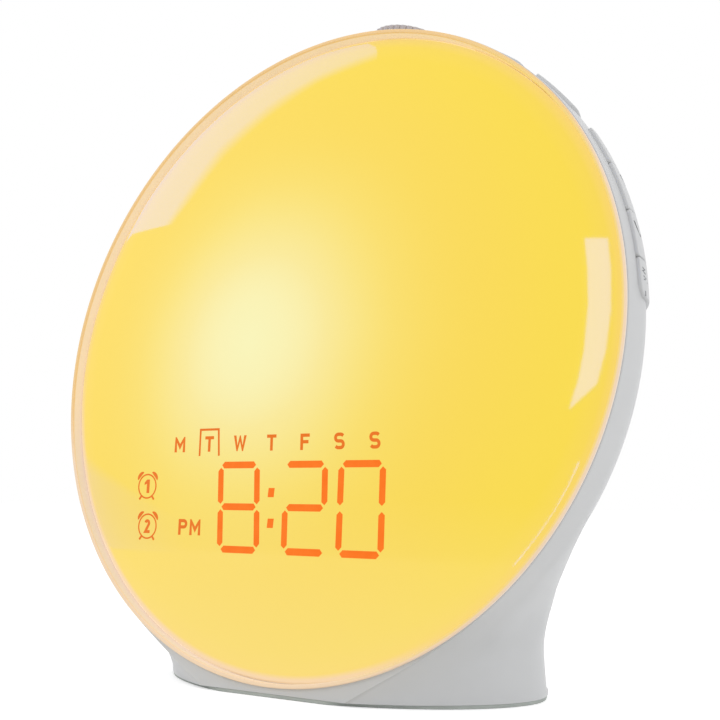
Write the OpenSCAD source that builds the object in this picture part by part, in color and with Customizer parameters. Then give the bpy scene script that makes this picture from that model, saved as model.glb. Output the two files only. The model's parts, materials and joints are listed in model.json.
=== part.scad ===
// Sunrise alarm clock.
// A lit disc leans back on an oval foot. The disc is a milky domed lens in a pale ring, the
// housing behind it is one moulding that narrows into the foot, and the controls are a push
// and turn knob and six arc-shaped keys let into the right shoulder of the housing.
// Millimetres, +Z up, front towards -Y. The origin is the centre of the foot on the table.

/* [Disc] */
// Diameter of the lens ring
disc_d = 168; // [160:1:180]
// Lean of the disc back from upright, in degrees
lean = 9; // [7:0.5:11]
// Height of the lowest point of the ring's front above the table
ring_lift = 2.4; // [2:0.1:3]
// How far the disc's centre lies in front of the foot's centre
disc_forward = 21; // [19:0.5:23]

/* [Lens and ring] */
// Rise of the domed lens over its own edge
lens_rise = 9; // [6:0.5:12]
// Thickness of the lens
lens_wall = 2.4; // [1.6:0.2:3]
// Rounding of the lens's shoulder
lens_shoulder_r = 0.6; // [0.4:0.1:1.6]
// Depth of the lens's shoulder behind the front of the ring
lens_depth = 3; // [2.5:0.1:3.4]
// Width of the ring's lip
ring_lip_w = 1.1; // [0.9:0.1:1.5]
// Gap between the lens and the ring
lens_gap = 0.15; // [0.1:0.05:0.3]
// Thickness of the foam gasket under the lens
gasket_t = 0.3; // [0.2:0.1:0.5]
// Thickness of the ring's inner ledge
ledge_t = 0.9; // [0.8:0.1:1]
// Width of the ring's inner ledge
ledge_w = 6.5; // [5:0.5:7]

/* [Housing] */
// Wall of the moulded housing
shell_wall = 2.2; // [1.8:0.1:2.6]
// How far the housing stands out beyond the ring
shell_step = 0.5; // [0.4:0.1:0.8]
// Depth of the housing's front edge behind the front of the ring
shell_front = 0.8; // [0.6:0.1:1.2]
// Depth at which the straight rim turns into the bowl
bowl_start = 8; // [7:0.5:9]
// Depth of the bowl behind the straight rim
bowl_depth = 36; // [34:0.5:38]
// Squareness of the bowl, where 2 is an ellipse
bowl_power = 1.82; // [1.7:0.02:2]
// Radius of the blend between bowl and foot
blend = 15; // [11:1:17]

/* [Foot] */
// Width of the foot at its sole
foot_w = 107.2; // [104:0.2:110]
// Depth of the foot at its sole
foot_d = 66.2; // [64:0.2:70]
// Width of the foot at its waist
waist_w = 106.4; // [104:0.2:108]
// How much wider the foot grows above its waist, on each side
foot_spread = 5.3; // [4:0.1:7]
// Squareness of the foot, where 2 is an ellipse
foot_power = 1.84; // [1.7:0.02:2.2]
// Height of the waist
waist_z = 11; // [9:1:14]
// Thickness of the toe that reaches forward under the ring
toe_t = 1; // [0.8:0.1:1.2]
// Thickness of the soft pad under the foot
pad_t = 0.9; // [0.8:0.1:1.2]
// Inset of the pad from the edge of the foot
pad_inset = 0.6; // [0.4:0.1:1.5]
// Thickness of the base plate
base_t = 2; // [1.8:0.1:2.4]
// Gap round the base plate
base_gap = 0.2; // [0.1:0.1:0.4]

/* [Keys] */
// How far the keys stand out of the housing
key_proud = 0.8; // [0.6:0.1:1.2]
// Depth of the keys' front edge behind the front of the ring
key_front = 6; // [6:0.1:6.4]
// Width of the keys, front to back
key_w = 12.5; // [11:0.5:13]
// Gap round each key
key_gap = 0.35; // [0.3:0.05:0.5]
// Travel of a key
key_travel = 0.5; // [0.3:0.1:0.6]

/* [Knob] */
// Angle of the knob on the rim, from the right-hand end of the disc's level diameter
knob_angle = 81.5; // [79:0.5:84]
// Diameter of the knob
knob_d = 21; // [20:0.5:22]
// Height of the knob's side
knob_h = 2.2; // [2:0.1:2.6]
// Ribs round the knob
knob_ribs = 36; // [24:2:48]
// Depth of the knob's axis behind the front of the ring
knob_depth = 14; // [13.5:0.5:15]
// Travel of the knob when it is pressed
knob_travel = 0.5; // [0.3:0.1:0.6]
// Diameter of the encoder's shaft
shaft_d = 6; // [5:0.5:6]
// Running clearance of the shaft, on the radius
shaft_fit = 0.05; // [0.02:0.01:0.1]

/* [Display] */
// Distance between the centres of a digit's upright segments
digit_w = 11.9; // [10:0.1:13]
// Distance between the centres of a digit's top and bottom segments
digit_h = 21.2; // [18:0.2:23]
// Width of a segment
segment_w = 1.7; // [1.2:0.1:2.2]
// Width of the display block
block_w = 82; // [80:1:84]
// Height of the display block
block_h = 34; // [32:1:35]

/* [Light and boards] */
// Thickness of the circuit boards
board_t = 1.6; // [1:0.1:1.6]
// Thickness of the reflector
reflector_t = 1.5; // [1.2:0.1:1.8]
// Radius of the reflector's floor
floor_r = 58; // [56:1:60]
// Depth of the reflector's floor behind the front of the ring
floor_depth = 15.5; // [15:0.1:16]
// Width of the main board
main_w = 80; // [76:1:82]
// Height of the main board
main_h = 40; // [36:1:42]

/* [Loudspeaker] */
// Diameter of the perforated grille
grille_d = 48; // [46:1:50]
// Thickness of the grille
grille_t = 1.8; // [1.5:0.1:2]
// Diameter of a grille hole
grille_hole_d = 1.8; // [1.2:0.1:2.2]
// Distance between rings of grille holes
grille_pitch = 3.6; // [3.2:0.1:4.2]
// Diameter of the loudspeaker
speaker_d = 44; // [40:1:45]

/* [Power and battery] */
// Bore of the power jack
jack_bore_d = 5.7; // [5.5:0.1:6]
// Diameter of the power jack's pin
jack_pin_d = 2; // [1.6:0.1:2.1]
// Distance of the power jack from the middle of the foot
jack_x = 16; // [12:1:18]
// Height of the power jack above the table
jack_z = 16; // [15:0.5:18]
// Diameter of the coin cell
cell_d = 20; // [20:0.1:20]
// Thickness of the coin cell
cell_t = 3.2; // [2.5:0.1:3.2]
// Diameter of the battery door
door_d = 26; // [25:0.5:27]
// Turn of the battery door from locked to open, in degrees
door_turn = 45; // [30:5:60]

/* [Hidden] */
$fn = 64;
eps = 0.01;

disc_r = disc_d / 2;
disc_y = -disc_forward;
disc_z = disc_r * cos(lean) + ring_lift;
lens_r = disc_r - ring_lip_w - lens_gap;
shell_r = disc_r + shell_step;
key_back = key_front + key_w;
foot_z = pad_t;
key_turn_gap = key_gap / shell_r * 180 / PI;

// Fixed places and small parts.
spigot_r = disc_r - ring_lip_w + 0.6;
shell_draft = 0.4;
blend_full_c = 18;
cone_r = 70;
warm_r = 45;
colour_r = 22;
led_t = 1.3;
ear_r = 25.5;
ledge_out_r = 28;
screw_r = 1.4;
screw_head_t = 1.5;
screw_hold = 7;
plunger_r = 1;
plunger_fit = 0.05;
lead_r = 0.8;
block_a = -9;
block_b = -39;
block_front = 6;
digit_8 = [-18.3, -41.5];
main_front = 22;
main_low = -56;

// --- Frames -----------------------------------------------------------------

// The disc's own frame: X right, Y up along the disc, Z out of its face. Depth is -Z.
module on_disc() {
    translate([0, disc_y, disc_z]) rotate([90 - lean, 0, 0]) children();
}

// A frame on the rim at an angle and depth, with Z pointing outwards from the disc's axis
// and X pointing to the front.
module on_rim(angle, depth) {
    on_disc() rotate([0, 0, angle]) translate([0, 0, -depth]) rotate([0, 90, 0]) mirror([1, 0, 0])
        children();
}

// A solid of revolution about the disc's axis, from points [radius, depth].
module turned(points, start = 0, sweep = 360) {
    rotate([0, 0, start]) rotate_extrude(angle = sweep, $fn = 128)
        polygon([for (p = points) [p[0], -p[1]]]);
}

// World point of a point given as [right, up, depth] in the disc's frame.
function disc_point(p) = [
    p[0],
    disc_y + p[1] * sin(lean) + p[2] * cos(lean),
    disc_z + p[1] * cos(lean) - p[2] * sin(lean)
];

// A world point in the disc's frame, as [right, up, depth].
function in_disc(p) =
    let (y = p[1] - disc_y, z = p[2] - disc_z)
    [p[0], y * sin(lean) + z * cos(lean), y * cos(lean) - z * sin(lean)];

// --- Shape of the housing ---------------------------------------------------

function power_norm(a, b, n) = pow(pow(abs(a), n) + pow(abs(b), n), 1 / n);

// Radius of the drum and bowl at a depth, less an inset. The drum narrows a little to the front.
function draft(depth) = shell_draft * pow(max(0, 1 - depth / bowl_start), 2);
function bowl_radius(depth, inset = 0) =
    depth <= bowl_start ? shell_r - draft(depth) - inset
    : (shell_r - inset) * pow(max(0, 1 - pow((depth - bowl_start) / (bowl_depth - inset), bowl_power)),
                              1 / bowl_power);

// Depth of the bowl at a radius, less an inset.
function bowl_depth_at(radius, inset = 0) =
    bowl_start + (bowl_depth - inset)
    * pow(max(0, 1 - pow(radius / (shell_r - inset), bowl_power)), 1 / bowl_power);

// Half width of the foot at a height: it flares to the sole and spreads into the bowl.
foot_fade_z = 76;
spread_h = 22;
foot_fade = 20;
function foot_half_w(z) =
    z < waist_z
    ? waist_w / 2 + (foot_w - waist_w) / 2 * pow((waist_z - z) / (waist_z - foot_z), 2)
    : let (t = min(1, (z - waist_z) / spread_h), u = max(0, (z - waist_z - spread_h) / spread_h))
      max(5, waist_w / 2 + foot_spread * t * t * (3 - 2 * t) - foot_fade * u * u);

// Back of the foot at a height: it flares to the sole and leans into the bowl.
back_flare = 1.4;
toe_reach = 2.5;
back_slope = 0.1;
function foot_back(z) =
    foot_d / 2 - back_flare - back_slope * (z - waist_z)
    + (z < waist_z ? (back_flare - back_slope * (waist_z - foot_z))
       * pow((waist_z - z) / (waist_z - foot_z), 2) : 0);

// The two fields are negative inside and grow like a distance outside.
function bowl_field(r, depth, inset) =
    depth <= bowl_start ? r - shell_r + draft(max(0, depth)) + inset
    : (power_norm(r / (shell_r - inset), (depth - bowl_start) / (bowl_depth - inset), bowl_power) - 1)
      * (shell_r - inset);
function foot_field(p, inset) =
    let (z = min(foot_fade_z, max(p[2], foot_z)),
         front = inset - foot_d / 2 - toe_reach,
         back = foot_back(z) - inset,
         half_w = foot_half_w(z) - inset,
         half_d = (back - front) / 2)
    max((power_norm(p[0] / half_w, (p[1] - (front + back) / 2) / half_d, foot_power) - 1) * half_d,
        p[2] - foot_fade_z);
function soft_min(a, b, k) = let (h = max(k - abs(a - b), 0)) min(a, b) - h * h / k / 4;
function body_field(p, inset) =
    let (q = in_disc(p))
    soft_min(bowl_field(norm([q[0], q[1]]), q[2], inset), foot_field(p, inset),
             blend * min(1, max(0.35, q[2] / blend_full_c)));

// Depth at which a line along the disc's axis leaves the body, less an inset.
function skin_depth(a, b, inset, lo = 16, hi = 90, n = 14) =
    n == 0 ? (lo + hi) / 2
    : let (mid = (lo + hi) / 2)
      body_field(disc_point([a, b, mid]), inset) < 0
      ? skin_depth(a, b, inset, mid, hi, n - 1) : skin_depth(a, b, inset, lo, mid, n - 1);

// The housing's wall is built in level slices. In each slice rays fan out backwards from the
// middle of a plane parallel to the disc, and end where the field is zero.
function plane_y(z, depth) = disc_y + (z - disc_z) * tan(lean) + depth / cos(lean);
function ray_end(z, depth, t, inset, lo = 0, hi = 130, n = 15) =
    n == 0 ? let (s = (lo + hi) / 2) [s * cos(t), plane_y(z, depth) + s * sin(t), z]
    : let (mid = (lo + hi) / 2)
      body_field([mid * cos(t), plane_y(z, depth) + mid * sin(t), z], inset) < 0
      ? ray_end(z, depth, t, inset, mid, hi, n - 1) : ray_end(z, depth, t, inset, lo, mid, n - 1);

low_z = [foot_z, 2.2, 4.2, 7, 10, 13.5, 17.5, 22, 27, 32.5, 39, 47, 56, 66, 76];
top_rows = 12;
cols = 30;
function row_z(j, top) =
    j < len(low_z) ? low_z[j]
    : let (z = low_z[len(low_z) - 1]) z + (top - z) * sin(90 * (j - len(low_z) + 1) / (top_rows + 1));
rows = len(low_z) + top_rows;
function top_point(inset, depth) = disc_point([0, bowl_radius(depth, inset), depth]);
function skin(inset, depth) = concat(
    [for (j = [0:rows - 1]) for (i = [0:cols])
        ray_end(row_z(j, top_point(inset, depth)[2]), depth,
                let (h = cols / 2, k = i <= h ? i : cols - i, t = 90 * (1 - cos(90 * k / h)))
                i <= h ? t : 180 - t, inset)],
    [top_point(inset, depth)]
);
outer_skin = skin(0, shell_front);
inner_skin = skin(shell_wall, shell_front + shell_wall);
skin_n = len(outer_skin);
function at(j, i) = j * (cols + 1) + i;
function skin_faces(o) = [
    for (j = [0:rows - 2]) for (i = [0:cols - 1])
        each [[o + at(j, i), o + at(j + 1, i), o + at(j + 1, i + 1)],
              [o + at(j, i), o + at(j + 1, i + 1), o + at(j, i + 1)]],
    for (i = [0:cols - 1]) [o + at(rows - 1, i), o + skin_n - 1, o + at(rows - 1, i + 1)],
    for (j = [0:rows - 2])
        each [[o + at(j, 0), o + at(j, cols), o + at(j + 1, cols)],
              [o + at(j, 0), o + at(j + 1, cols), o + at(j + 1, 0)]],
    [o + at(rows - 1, 0), o + at(rows - 1, cols), o + skin_n - 1]
];
function turned_over(faces) = [for (f = faces) [f[0], f[2], f[1]]];
module housing_wall() {
    n = skin_n;
    polyhedron(
        concat(outer_skin, inner_skin),
        concat(
            skin_faces(0),
            turned_over(skin_faces(n)),
            [for (i = [0:cols - 1]) each [[i, i + 1, n + i + 1], [i, n + i + 1, n + i]],
             [cols, 0, n], [cols, n, n + cols]]
        ),
        convexity = 6
    );
}

// An oval like the foot's, with a straight front edge where it meets the disc.
module oval(half_w, back, front) {
    polygon([for (i = [0:95]) let (c = cos(i * 3.75), s = sin(i * 3.75), e = 2 / foot_power)
        [half_w * sign(c) * pow(abs(c), e),
         (back - front) / 2 * sign(s) * pow(abs(s), e) + (back + front) / 2]]);
}

// --- Small helpers ----------------------------------------------------------

// A post along the disc's axis between two depths, used inside on_disc().
module post(a, b, from, to, r, n = 40) {
    translate([a, b, -to]) cylinder(r = r, h = to - from, $fn = n);
}
// A box between two corners in the disc's frame, used inside on_disc().
module slab(a0, a1, b0, b1, from, to) {
    translate([a0, b0, -to]) cube([a1 - a0, b1 - b0, to - from]);
}
// A screw whose head sits at depth head and whose point lies deeper.
module screw(a, b, head, length, head_r = 2.6) {
    difference() {
        union() {
            post(a, b, head, head + screw_head_t, head_r);
            post(a, b, head + screw_head_t - eps, head + screw_head_t + length, screw_r);
        }
        slab(a - head_r, a + head_r, b - 0.35, b + 0.35, head - 1, head + 0.6);
        slab(a - 0.35, a + 0.35, b - head_r, b + head_r, head - 1, head + 0.6);
    }
}

function unit(v) = v / norm(v);
// A smooth curve through points, with a few steps in each span.
function curve(p, steps = 4) = [
    for (i = [0:len(p) - 2]) for (k = [0:steps - 1])
        let (t = k / steps, a = p[max(0, i - 1)], b = p[i], c = p[i + 1], d = p[min(len(p) - 1, i + 2)])
        0.5 * (2 * b + (c - a) * t + (2 * a - 5 * b + 4 * c - d) * t * t
               + (3 * b - a - 3 * c + d) * t * t * t),
    p[len(p) - 1]
];
// A round lead along a smooth curve. The reference direction must not lie along the lead.
lead_sides = 8;
module lead(points, r, ref = [1, 0, 0]) {
    p = curve(points);
    n = len(p);
    rings = [for (i = [0:n - 1])
        let (d = unit(p[min(n - 1, i + 1)] - p[max(0, i - 1)]), s = unit(cross(d, ref)), t = cross(s, d))
        for (k = [0:lead_sides - 1]) let (w = k * 360 / lead_sides) p[i] + r * (cos(w) * s + sin(w) * t)];
    faces = concat(
        [[for (k = [0:lead_sides - 1]) lead_sides - 1 - k]],
        [for (i = [0:n - 2]) for (k = [0:lead_sides - 1]) let (m = (k + 1) % lead_sides)
            each [[i * lead_sides + k, (i + 1) * lead_sides + m, (i + 1) * lead_sides + k],
                  [i * lead_sides + k, i * lead_sides + m, (i + 1) * lead_sides + m]]],
        [[for (k = [0:lead_sides - 1]) (n - 1) * lead_sides + k]]
    );
    polyhedron(rings, faces, convexity = 6);
}
// A plug on a board: a small box whose back face is at a depth.
module plug(a, b, from, to, w = 6, h = 4) {
    slab(a - w / 2, a + w / 2, b - h / 2, b + h / 2, from, to);
}

// --- Front ------------------------------------------------------------------

// The lens is a shallow spherical cap with a rounded shoulder.
dome_r = (lens_r * lens_r + lens_rise * lens_rise) / (2 * lens_rise);
dome_c = lens_depth - lens_rise + dome_r;
shoulder_c = dome_c - sqrt(pow(dome_r - lens_shoulder_r, 2) - pow(lens_r - lens_shoulder_r, 2));
shoulder_a = asin((lens_r - lens_shoulder_r) / (dome_r - lens_shoulder_r));
flange_c = lens_depth + 1.5;
ledge_c = flange_c + gasket_t;
ledge_back = ledge_c + ledge_t;
lens_in_r = dome_r - lens_wall;
lens_foot_r = sqrt(pow(lens_in_r, 2) - pow(dome_c - flange_c, 2));

module front_lens() {
    in_a = asin(lens_foot_r / lens_in_r);
    color("khaki") on_disc() turned(concat(
        [for (i = [0:20]) let (a = shoulder_a * i / 20) [dome_r * sin(a), dome_c - dome_r * cos(a)]],
        [for (i = [1:6]) let (a = shoulder_a + (90 - shoulder_a) * i / 6)
            [lens_r - lens_shoulder_r + lens_shoulder_r * sin(a), shoulder_c - lens_shoulder_r * cos(a)]],
        [[lens_r, flange_c]],
        [for (i = [0:20]) let (a = in_a * (20 - i) / 20) [lens_in_r * sin(a), dome_c - lens_in_r * cos(a)]]
    ));
}

module lens_gasket() {
    color("dimgray") on_disc() difference() {
        post(0, 0, flange_c, ledge_c, lens_r - 0.3, 128);
        post(0, 0, flange_c - 1, ledge_c + 1, lens_foot_r + 0.3, 128);
    }
}

module lens_ring() {
    in_r = disc_r - ring_lip_w;
    color("bisque") on_disc() turned(concat(
        [for (i = [0:4]) let (a = i * 22.5) [disc_r - 0.4 + 0.4 * sin(a), 0.4 - 0.4 * cos(a)]],
        [[disc_r, shell_front], [spigot_r, shell_front], [spigot_r, ledge_back],
         [in_r - ledge_w, ledge_back], [in_r - ledge_w, ledge_c], [in_r, ledge_c], [in_r, 0.4],
         [in_r + 0.1, 0.1], [in_r + 0.3, 0]]
    ));
}

// --- Light ------------------------------------------------------------------

board_front = floor_depth + reflector_t;
board_back = board_front + board_t;
window = [block_a - block_w / 2 - 1, block_a + block_w / 2 + 1,
          block_b - block_h / 2 - 1, block_b + block_h / 2 + 1];
light_screws = [[46, 22], [-46, 22], [46, -10], [-46, -10]];
warm_angles = [0, 30, 60, 90, 120, 150, 180];
colour_angles = [30, 90, 150, 210, 330];
flange_r = disc_r - 6;

module reflector() {
    color("white") on_disc() difference() {
        turned([[flange_r, ledge_back], [cone_r, ledge_back], [floor_r, floor_depth], [0, floor_depth],
                [0, board_front], [floor_r + 0.9, board_front], [cone_r + 1.2, ledge_back + reflector_t],
                [flange_r, ledge_back + reflector_t]]);
        slab(window[0], window[1], window[2], window[3], 0, 40);
        for (a = warm_angles) rotate([0, 0, a]) post(warm_r, 0, 10, 30, 2.9);
        for (a = colour_angles) rotate([0, 0, a]) post(colour_r, 0, 10, 30, 2.9);
        for (p = light_screws) post(p[0], p[1], 10, 30, screw_r + 0.15);
    }
}

module led_board() {
    color("seagreen") on_disc() difference() {
        post(0, 0, board_front, board_back, floor_r - 2, 96);
        slab(-90, 90, -90, window[3] + 0.5, 0, 40);
        for (p = light_screws) post(p[0], p[1], 10, 30, screw_r + 0.15);
    }
}

// A light emitting diode: a square package with a round dimple.
module diode(w) {
    difference() {
        slab(-w / 2, w / 2, -w / 2, w / 2, board_front - led_t, board_front);
        post(0, 0, board_front - led_t - 1, board_front - led_t + 0.3, w * 0.38, 24);
    }
}
module warm_leds() {
    color("gold") on_disc() for (a = warm_angles) rotate([0, 0, a]) translate([warm_r, 0, 0]) diode(3.6);
}
module colour_leds() {
    color("mistyrose") on_disc() for (a = colour_angles)
        rotate([0, 0, a]) translate([colour_r, 0, 0]) diode(3.2);
}

module reflector_screws() {
    color("silver") on_disc() for (p = light_screws)
        screw(p[0], p[1], floor_depth - screw_head_t, reflector_t + board_t + screw_hold);
}

// --- Display ----------------------------------------------------------------

digit_a = [0, 20.9, 37.4];
colon_a = 11.2;
digit_slant = 0.1;
// Which upright or level place each of the seven segments takes: [across, up, level or upright]
places = [[0, 1, 0], [0, 0, 0], [0, -1, 0], [-1, 0.5, 1], [1, 0.5, 1], [-1, -0.5, 1], [1, -0.5, 1]];

// One segment: a bar with pointed ends.
module bar(length) {
    h = segment_w / 2;
    polygon([[-length / 2, 0], [h - length / 2, h], [length / 2 - h, h], [length / 2, 0],
             [length / 2 - h, -h], [h - length / 2, -h]]);
}
module digit(grow) {
    offset(delta = grow) for (p = places)
        translate([p[0] * digit_w / 2, p[1] * digit_h / 2])
            rotate([0, 0, p[2] * 90]) bar(p[2] == 1 ? digit_h / 2 - 0.4 : digit_w - 0.4);
}
// Every window in the display: three digits, the colon, seven weekdays, and three signs.
module display_plan(grow) {
    translate([digit_8[0], digit_8[1]]) {
        multmatrix([[1, -digit_slant, 0, 0], [0, 1, 0, 0], [0, 0, 1, 0]])
            for (a = digit_a) translate([a, 0]) digit(grow);
        for (s = [-1, 1]) translate([colon_a, s * digit_h / 6]) circle(r = 1 + grow, $fn = 24);
        for (i = [0:6]) translate([i * 10.16 - 20.1, digit_h * 0.75]) square([4, 4.6] + [2, 2] * grow, center = true);
        for (s = [-1, 1]) translate([-27.5, s * 5.6]) circle(r = 3 + grow, $fn = 32);
        translate([-18.2, -6.2]) square([5.4, 4.2] + [2, 2] * grow, center = true);
    }
}
module display_housing() {
    color("white") on_disc() difference() {
        slab(block_a - block_w / 2, block_a + block_w / 2, block_b - block_h / 2, block_b + block_h / 2,
             block_front, board_front);
        translate([0, 0, -30]) linear_extrude(30 - block_front + 1) display_plan(0.05);
    }
}
module display_segments() {
    color("darkorange") on_disc() translate([0, 0, -block_front - 2.5]) linear_extrude(2.3)
        display_plan(0);
}
module display_board() {
    color("seagreen") on_disc() difference() {
        slab(window[0] - 1, window[1] + 1, window[2] - 1, window[3] - 0.2, board_front, board_back);
        header_pins(0.05, board_front - 1);
    }
}
module display_header() {
    color("dimgray") on_disc() {
        slab(-22, 2, -38.5, -36, board_back, main_front);
        header_pins(0, board_back - 0.6);
    }
}
module header_pins(more, from) {
    for (i = [0:8]) slab(-20.3 + i * 2.54 - more, -19.7 + i * 2.54 + more, -37.55 - more, -36.95 + more,
                         from, board_back + eps);
}

// --- Main board -------------------------------------------------------------

main_back = main_front + board_t;
main_screws = [[34, -50], [-34, -50], [34, -20], [-34, -20]];
module main_board() {
    color("seagreen") on_disc() difference() {
        slab(-main_w / 2, main_w / 2, main_low, main_low + main_h, main_front, main_back);
        for (p = main_screws) post(p[0], p[1], 10, 40, screw_r + 0.15);
    }
}
module main_chips() {
    color("dimgray") on_disc() {
        slab(-17, -3, -43, -29, main_back, main_back + 1.4);
        slab(6, 15, -36, -30, main_back, main_back + 1.4);
        slab(-35, -28, -42, -36, main_back, main_back + 1.2);
        slab(4, 12, -48, -44.5, main_back, main_back + 3.2);
        slab(-1, 5, -26, -21, main_back, main_back + 1.2);
    }
}
module capacitors() {
    color("silver") on_disc() {
        for (p = [[22, -42, 4, 9], [31, -36, 3.15, 7], [-12, -50, 2.5, 7]]) difference() {
            post(p[0], p[1], main_back, main_back + p[3], p[2], 48);
            post(p[0], p[1], main_back + p[3] - 0.2, main_back + p[3] + 1, p[2] - 0.7, 48);
        }
    }
}
module board_screws() {
    color("silver") on_disc() for (p = main_screws)
        screw(p[0], p[1], main_front - screw_head_t, board_t + screw_hold);
}

// --- Loudspeaker ------------------------------------------------------------

grille_r = grille_d / 2;
speaker_r = speaker_d / 2;
seat_c = bowl_depth_at(grille_r) - 3.4;
ledge_front = seat_c - 2;
speaker_back = ledge_front - 0.3;
ear_angles = [90, 210, 330];

// The grille continues the bowl's curve.
module speaker_grille() {
    color("gray") on_disc() difference() {
        turned(concat(
            [[grille_r - 2, seat_c], [grille_r, seat_c]],
            [for (i = [8:-1:0]) [grille_r * i / 8, bowl_depth_at(grille_r * i / 8)]],
            [for (i = [0:6]) [(grille_r - 2) * i / 6, bowl_depth_at((grille_r - 2) * i / 6) - grille_t]]
        ));
        for (k = [1:5]) for (i = [0:6 * k - 1])
            rotate([0, 0, i * 60 / k]) post(k * grille_pitch, 0, seat_c - 1, seat_c + 12, grille_hole_d / 2, 16);
        post(0, 0, seat_c - 1, seat_c + 12, grille_hole_d / 2, 16);
    }
}
module speaker_gasket() {
    color("dimgray") on_disc() difference() {
        post(0, 0, speaker_back, ledge_front, speaker_r - 0.1, 96);
        post(0, 0, speaker_back - 1, ledge_front + 1, speaker_r - 1.8, 96);
    }
}
// The basket: a conical frame with four windows, and three ears for the screws.
magnet_r = 11;
magnet_front = 20;
plate_c = magnet_front + 5.5;
module speaker_frame() {
    color("lightslategray") on_disc() {
        difference() {
            turned([[0, plate_c], [magnet_r + 1, plate_c], [speaker_r, speaker_back - 1],
                    [speaker_r, speaker_back], [speaker_r - 2.6, speaker_back],
                    [speaker_r - 2.6, speaker_back - 1], [magnet_r, plate_c + 1.2], [0, plate_c + 1.2]]);
            for (a = [45:90:315]) turned([[magnet_r + 2.4, plate_c - 1], [speaker_r - 3.4, plate_c - 1],
                [speaker_r - 3.4, speaker_back + 1], [magnet_r + 2.4, speaker_back + 1]], a - 27, 54);
        }
        for (a = ear_angles) rotate([0, 0, a]) difference() {
            union() {
                post(ear_r, 0, speaker_back - 1, ledge_front, 2.5);
                slab(speaker_r - 1.5, ear_r, -2.4, 2.4, speaker_back - 0.9, speaker_back - 0.1);
            }
            post(ear_r, 0, 0, 60, 1.1);
        }
    }
}
module speaker_magnet() {
    color("dimgray") on_disc() difference() {
        post(0, 0, magnet_front, plate_c, magnet_r, 96);
        post(0, 0, magnet_front - 1, magnet_front + 0.8, 4, 48);
    }
}
module speaker_cone() {
    e = speaker_back;
    r = speaker_r - 2.75;
    color("darkslategray") on_disc() turned([[0, plate_c + 3.2], [4, plate_c + 3.5], [6.6, plate_c + 4.6],
        [7.4, plate_c + 3.9], [r - 2.85, e - 1.2], [r - 1.65, e - 0.7], [r - 0.65, e - 1.1], [r, e - 0.85],
        [r, e - 0.45], [r - 0.55, e - 0.7], [r - 1.65, e - 0.3], [r - 3.05, e - 0.8], [7.5, plate_c + 4.4],
        [6.7, plate_c + 5.1], [4, plate_c + 4], [0, plate_c + 3.7]]);
}
module speaker_screws() {
    color("silver") on_disc() for (a = ear_angles) rotate([0, 0, a]) {
        post(ear_r, 0, speaker_back - 2.2, speaker_back - 1, 1.8);
        post(ear_r, 0, speaker_back - 1.1, ledge_front + 2.6, 1);
    }
}

// --- Keys -------------------------------------------------------------------

// The six keys, as [first angle, last angle] round the rim.
keys = [[53.6, 63], [39.6, 48.8], [26.75, 33.8], [18.05, 26.5], [10.25, 17.8], [3.2, 9.9]];
key_openings = [[53.6, 63], [39.6, 48.8], [3.2, 33.8]];
switch_c = key_front + 5;
switch_r0 = 72;
switch_r1 = 76;
stub_r = 79;
function middle(k) = (keys[k][0] + keys[k][1]) / 2;
function key_outer(c) = [bowl_radius(c) + key_proud, c];
function key_inner(c) = [bowl_radius(c, shell_wall) - 1.2, c];

module side_key(k) {
    a = keys[k];
    color("lightgray") on_disc() {
        turned(concat(
            [key_outer(key_front) - [0.5, 0], key_outer(key_front + 0.15) - [0.15, 0]],
            [for (i = [0:7]) key_outer(key_front + 0.5 + (key_w - 1) * i / 7)],
            [key_outer(key_back - 0.15) - [0.15, 0], key_outer(key_back) - [0.5, 0],
             [bowl_radius(key_back, shell_wall) - 0.7, key_back],
             [bowl_radius(key_back + 1.4, shell_wall) - 0.7, key_back + 1.4],
             key_inner(key_back + 1.4) - [0.2, 0], key_inner(key_back) - [0.2, 0]],
            [for (i = [4:-1:0]) key_inner(key_front + key_w * i / 4)]
        ), a[0], a[1] - a[0]);
        rotate([0, 0, middle(k)]) translate([stub_r, 0, -switch_c]) rotate([0, 90, 0])
            cylinder(r = 1.6, h = 3, $fn = 32);
    }
}
module key_plunger(k) {
    color("dimgray") on_disc() rotate([0, 0, middle(k)]) translate([switch_r1 - 0.8, 0, -switch_c])
        rotate([0, 90, 0]) cylinder(r = plunger_r, h = stub_r - switch_r1 + 0.8, $fn = 32);
}
module side_key_1() { side_key(0); }
module side_key_2() { side_key(1); }
module side_key_3() { side_key(2); }
module side_key_4() { side_key(3); }
module side_key_5() { side_key(4); }
module side_key_6() { side_key(5); }
module key_plunger_1() { key_plunger(0); }
module key_plunger_2() { key_plunger(1); }
module key_plunger_3() { key_plunger(2); }
module key_plunger_4() { key_plunger(3); }
module key_plunger_5() { key_plunger(4); }
module key_plunger_6() { key_plunger(5); }

// The side-push switches stand on the front of a curved board.
key_board_c = switch_c + 2.4;
key_posts = [1, 37.2, 66];
module tact_switches() {
    color("black") on_disc() for (k = [0:5]) rotate([0, 0, middle(k)]) difference() {
        slab(switch_r0, switch_r1, -2.6, 2.6, switch_c - 2.4, key_board_c);
        translate([switch_r1 - 1.5, 0, -switch_c]) rotate([0, 90, 0])
            cylinder(r = plunger_r + plunger_fit, h = 4, $fn = 32);
    }
}
module key_board() {
    color("seagreen") on_disc() difference() {
        turned([[65, key_board_c], [75.5, key_board_c], [75.5, key_board_c + board_t],
                [65, key_board_c + board_t]], -1, 70);
        for (a = key_posts) rotate([0, 0, a]) post(70, 0, 0, 40, screw_r + 0.15);
    }
}
module key_screws() {
    color("silver") on_disc() for (a = key_posts) rotate([0, 0, a])
        screw(70, 0, key_board_c - screw_head_t, board_t + 4, 2.2);
}

// --- Knob and encoder -------------------------------------------------------

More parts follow.
